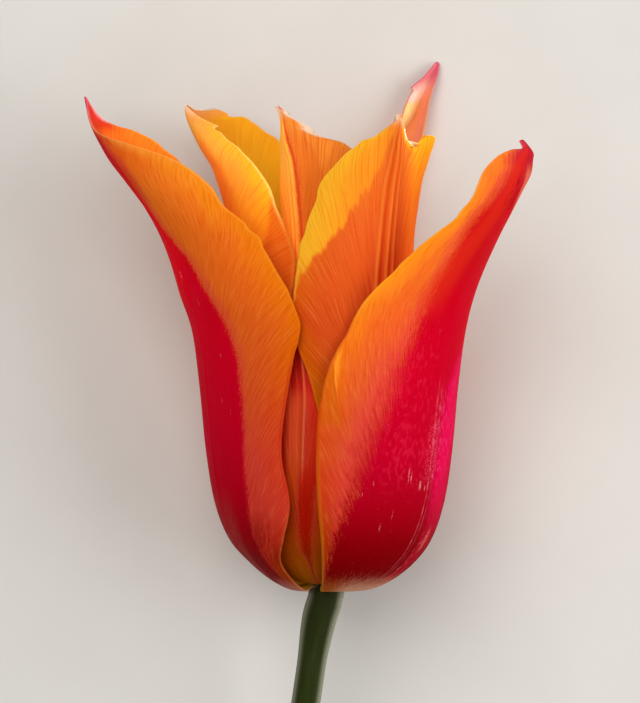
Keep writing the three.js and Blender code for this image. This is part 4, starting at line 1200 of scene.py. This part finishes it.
def right_inner_marks(f):
    """Painted light on the ridges along the middle and painted shade between them, streaks to the hooked
    tip, and a painted white highlight on the lip beside it.
    """
    t, s = f.t, f.s
    # Painted light along the crests of the ridges
    crest = (t + 0.165).line(0.025) + (t + 0.055).line(0.03) + (t - 0.03).line(0.03) * 0.7
    f.paint([252, 140, 44], crest * s.step(0.55, 0.7) * 0.55)
    # Painted shade in the creases between the ridges
    groove = (t + 0.11).line(0.035) + (t + 0.005).line(0.03) * 0.7
    f.paint([206, 58, 10], groove * s.step(0.5, 0.7) * 0.6)
    streaks = f.fine.step(0.5, 0.62) * s.step(0.78, 0.9) * t.step(0.1, 0.3)
    f.paint([220, 96, 16], streaks * 0.4)
    # Painted white highlight on the lip
    lip = t.window(0.8, 1, 0.1) * s.window(0.963, 0.985, 0.005)
    f.paint([255, 236, 210], lip * 0.8)


def left_inner_patches(f):
    """The shaded side by the near margin, and the redder side by the far one."""
    t, s = f.t, f.s
    edge = t - 0.76 - 2 * (s - 0.703) + f.hair.sway(0.06)
    shaded = edge.step(-0.02, 0.03) * (1 - s.step(0.83, 0.86))
    f.paint(s.ramp([[0.6, 216, 84, 20], [0.72, 230, 104, 24], [0.8, 242, 120, 24]]), shaded)
    side = 1 - t.step(0.46, 0.66)
    f.paint([232, 92, 24], side * s.window(0.7, 0.91, 0.06) * 0.55)


def front_inner_patches(f):
    """The lighter side left of the midrib, and a red painted shadow where the outer petals overlap it."""
    t, s = f.t, f.s
    left = 1 - t.step(-0.03, 0.02)
    pleats = s.ramp([[0.6, 255, 112, 36], [0.74, 255, 152, 48], [0.9, 255, 182, 66]])
    f.paint(pleats, left * s.step(0.6, 0.74))
    beside = t.window(0.04, 0.3, 0.08) * s.window(0.6, 0.92, 0.05)
    f.paint([232, 90, 26], beside * 0.4)
    f.paint([204, 4, 18], s.window(0.465, 0.56, 0.04) * 0.8)
    # Painted shadow of the outer petals' margin
    overlap = (1 - t.step(-0.3, -0.2)) * s.window(0.3, 0.5, 0.04)
    f.paint([180, 4, 8], overlap * 0.85)


def front_inner_marks(f):
    """Pale lines along the midrib, painted shade in the creases beside its ridges, dark veins up to the top
    margin, and a painted whitish highlight along its rolled lip.
    """
    t, s = f.t, f.s
    lines = (t + 0.04).line(0.022) + (t + 0.2).line(0.014) * 0.5 + (t + 0.12).line(0.012) * 0.4
    f.paint([236, 116, 70], lines * s.window(0.33, 0.6, 0.05) * 0.6)
    # Painted shade in the creases beside the ridges
    grooves = (t + 0.085).line(0.016) + (t - 0.02).line(0.03)
    f.paint([208, 66, 18], grooves * s.window(0.6, 0.95, 0.05) * 0.75)
    dark = f.fine.step(0.5, 0.62) * s.step(0.82, 0.92) * t.step(0, 0.2)
    f.paint([206, 84, 30], dark * 0.34)
    # Painted whitish highlight along the rolled top lip
    lip = (t + f.hair.sway(0.4)).step(0.45, 0.75) * s.window(0.942, 0.987, 0.008)
    f.paint([255, 226, 196], lip * 0.85)


def back_inside_patches(f):
    """Yellow made paler by painted light shining through on one side, and pink on the other, towards the
    tip, with a painted whitish highlight near the tip.
    """
    t, s = f.t, f.s
    upper = s.step(0.6, 0.85)
    # Paler yellow: the inside's yellow with painted light shining through it
    f.paint([253, 226, 150], t.step(0, 0.5) * upper)
    f.paint([250, 144, 116], (1 - t.step(-0.95, -0.1)) * upper * 0.9)
    # Painted whitish highlight near the tip
    f.paint([252, 214, 204], t.step(-0.2, 0.7) * s.window(0.94, 0.965, 0.01) * 0.8)


def left_outer_inside_patches(f):
    """The pinkish rim of the far margin beside the tip."""
    rim = (-1 * f.t + f.hair.sway(0.3)).step(0.6, 0.9) * f.s.window(0.955, 0.99, 0.01)
    f.paint([240, 150, 156], rim * 0.85)


PATCHES = {
    "petal_outer_right": right_outer_patches,
    "petal_inner_left": left_inner_patches,
    "petal_inner_right": right_inner_patches,
    "petal_inner_front": front_inner_patches,
}
MARKS = {
    "petal_outer_left": left_outer_marks,
    "petal_outer_right": right_outer_marks,
    "petal_inner_right": right_inner_marks,
    "petal_inner_front": front_inner_marks,
}
INSIDE_PATCHES = {"petal_outer_back": back_inside_patches, "petal_outer_left": left_outer_inside_patches}


def petal_finish(name, look, seed, patches, marks=None):
    f = PetalFinish(name, look, seed)
    f.paint_body()
    if patches:
        patches(f)
    f.paint_veins()
    f.paint_flame()
    f.paint_edges()
    if marks:
        marks(f)
    return f.powdered()


def soft_tissue(gloss):
    return {"Specular IOR Level": gloss, "Subsurface Weight": 0.1, "Subsurface Scale": 0.001}


def stem_finish():
    """Green, lighter lower down and darkened by painted shade under the flower, with pale sides that are
    partly its waxy coat and partly painted sheen.
    """
    f = Finish("stem_green", {"Specular IOR Level": 0.12})
    u, v = f.spots("surface")
    lines = f.noise(u * 60, v * 6, 1)
    cloud = f.noise(u * 5, v * 14, 4)
    grain = f.noise(u * 90, v * 900, 7)
    # Darker towards the top: painted shade under the flower
    f.colour = v.ramp([[0, 74, 96, 34], [0.5, 50, 68, 6], [0.86, 34, 42, 0], [0.93, 29, 30, 0],
                          [0.965, 16, 12, 2]])
    f.paint([24, 30, 0], lines.step(0.45, 0.7) * 0.5)
    f.paint([70, 80, 40], (cloud + grain.sway(0.3)).step(0.45, 0.75) * 0.25)
    # Pale sides where the stem turns away: partly its waxy coat, partly painted sheen
    right = u.line(0.06) + (u - 0.94).line(0.11)
    left = (u - 0.55).line(0.1)
    f.paint([170, 170, 144], (right * 0.8 + left * 0.55) * (0.6 + 0.4 * grain.step(0.4, 0.6)))
    return f.finished(roughness=0.5 + 0.2 * cloud, normal=f.bump(lines + grain * 0.4, 0.06))


def cut_finish():
    """Pale pith with darker cells."""
    f = Finish("stem_cut", soft_tissue(0.5))
    cells = f.pattern("TexVoronoi", 1600)
    pith = f.pattern("TexNoise", 900)
    f.colour = f.mix([196, 206, 142], [160, 178, 96], pith.step(0.4, 0.65))
    f.paint([112, 132, 60], (1 - cells.step(0.12, 0.22)) * 0.8)
    return f.finished(roughness=0.35 + 0.2 * pith, normal=f.bump(cells, 0.08))


def filament_finish():
    f = Finish("filament_yellow", soft_tissue(0.35))
    u, v = f.spots("surface")
    lines = f.noise(u * 24, v * 3, 2)
    f.colour = v.ramp([[0, 206, 200, 110], [0.5, 232, 200, 84], [1, 240, 196, 60]])
    f.paint([214, 170, 50], lines.step(0.45, 0.7) * 0.6)
    return f.finished(roughness=0.4 + 0.2 * lines, normal=f.bump(lines, 0.05))


def anther_finish():
    f = Finish("anther_pollen", {"Specular IOR Level": 0.2, "Sheen Weight": 0.15})
    u, v = f.spots("surface")
    grains = f.pattern("TexNoise", 4200, Detail=3)
    patches = f.noise(u * 9, v * 5, 5)
    f.colour = f.mix([226, 186, 84], [244, 214, 130], grains.step(0.4, 0.62))
    f.paint([196, 148, 58], patches.step(0.5, 0.7) * 0.5)
    return f.finished(roughness=0.75 + 0.2 * grains, normal=f.bump(grains, 0.12))


def pistil_finish():
    """A green ovary with fine lines, and a paler grainy stigma."""
    f = Finish("pistil_green", soft_tissue(0.35))
    u, v = f.spots("surface")
    lines = f.noise(u * 40, v * 4, 3)
    grain = f.noise(u * 130, v * 90, 6)
    f.colour = v.ramp([[0, 178, 190, 104], [0.45, 160, 182, 92], [0.75, 186, 196, 112],
                          [0.9, 232, 222, 150]])
    f.paint([134, 160, 70], lines.step(0.5, 0.7) * 0.4)
    f.paint([240, 232, 180], grain.step(0.55, 0.7) * v.step(0.78, 0.9) * 0.7)
    return f.finished(roughness=0.45 + 0.25 * grain, normal=f.bump(grain + lines * 0.5, 0.06))


def table_finish():
    f = Finish("pale_table", {"Specular IOR Level": 0.25})
    mottle = f.pattern("TexNoise", 60, Detail=4)
    f.colour = f.mix([226, 224, 218], [218, 216, 210], mottle)
    return f.finished(roughness=0.7 + 0.1 * mottle)


# The scene round the flower


def make_table():
    bm = bmesh.new()
    bmesh.ops.create_grid(bm, x_segments=8, y_segments=8, size=TABLE_HALF)
    table = add_mesh("table", bm, [table_finish()])


def make_camera():
    """Straight above the flower, with the picture's top towards the petals' tips."""
    camera = add_object("camera", bpy.data.cameras.new("camera"))
    camera.data.sensor_width = SENSOR
    camera.data.lens = SENSOR * CAMERA_DISTANCE / VIEW_HEIGHT
    camera.data.clip_start = 0.01
    camera.data.clip_end = 10
    across, up = VIEW_CENTRE
    camera.location = laid_down([[across, -CAMERA_DISTANCE, up]])[0]
    bpy.context.scene.camera = camera


def make_light(name, place, size, power, colour):
    """A square soft light that faces the flower."""
    light = add_object(name, bpy.data.lights.new(name, "AREA"))
    light.data.size = size * MM
    light.data.energy = power
    light.data.color = colour
    light.location = Vector(place) * MM
    light.rotation_euler = (FLOWER_MIDDLE - light.location).to_track_quat("-Z", "Y").to_euler()


def make_air():
    """Even pale light from all round."""
    world = bpy.data.worlds.new("air")
    world.use_nodes = True
    background = world.node_tree.nodes["Background"]
    background.inputs["Color"].default_value = (1, 1, 1, 1)
    background.inputs["Strength"].default_value = AIR_STRENGTH
    bpy.context.scene.world = world


make_camera()
make_table()
make_air()
for name, light in LIGHTS.items():
    make_light(name, *light)
bpy.context.scene.view_settings.view_transform = "Standard"

for number, petal in enumerate(PETALS):
    name = petal["name"]
    look = USUAL_LOOK | LOOKS[name]
    outside = petal_finish(name + "_outside", look, 10 * number, PATCHES.get(name), MARKS.get(name))
    look = USUAL_LOOK | INSIDE_LOOK | INSIDE_CHANGES.get(name, {})
    inside = petal_finish(name + "_inside", look, 10 * number + 5, INSIDE_PATCHES.get(name))
    make_petal(petal, [outside, inside], "outer_petal" if "outer" in name else "inner_petal", number)
make_stem([stem_finish(), cut_finish()])
make_stamens(filament_finish(), anther_finish())
make_pistil(pistil_finish())
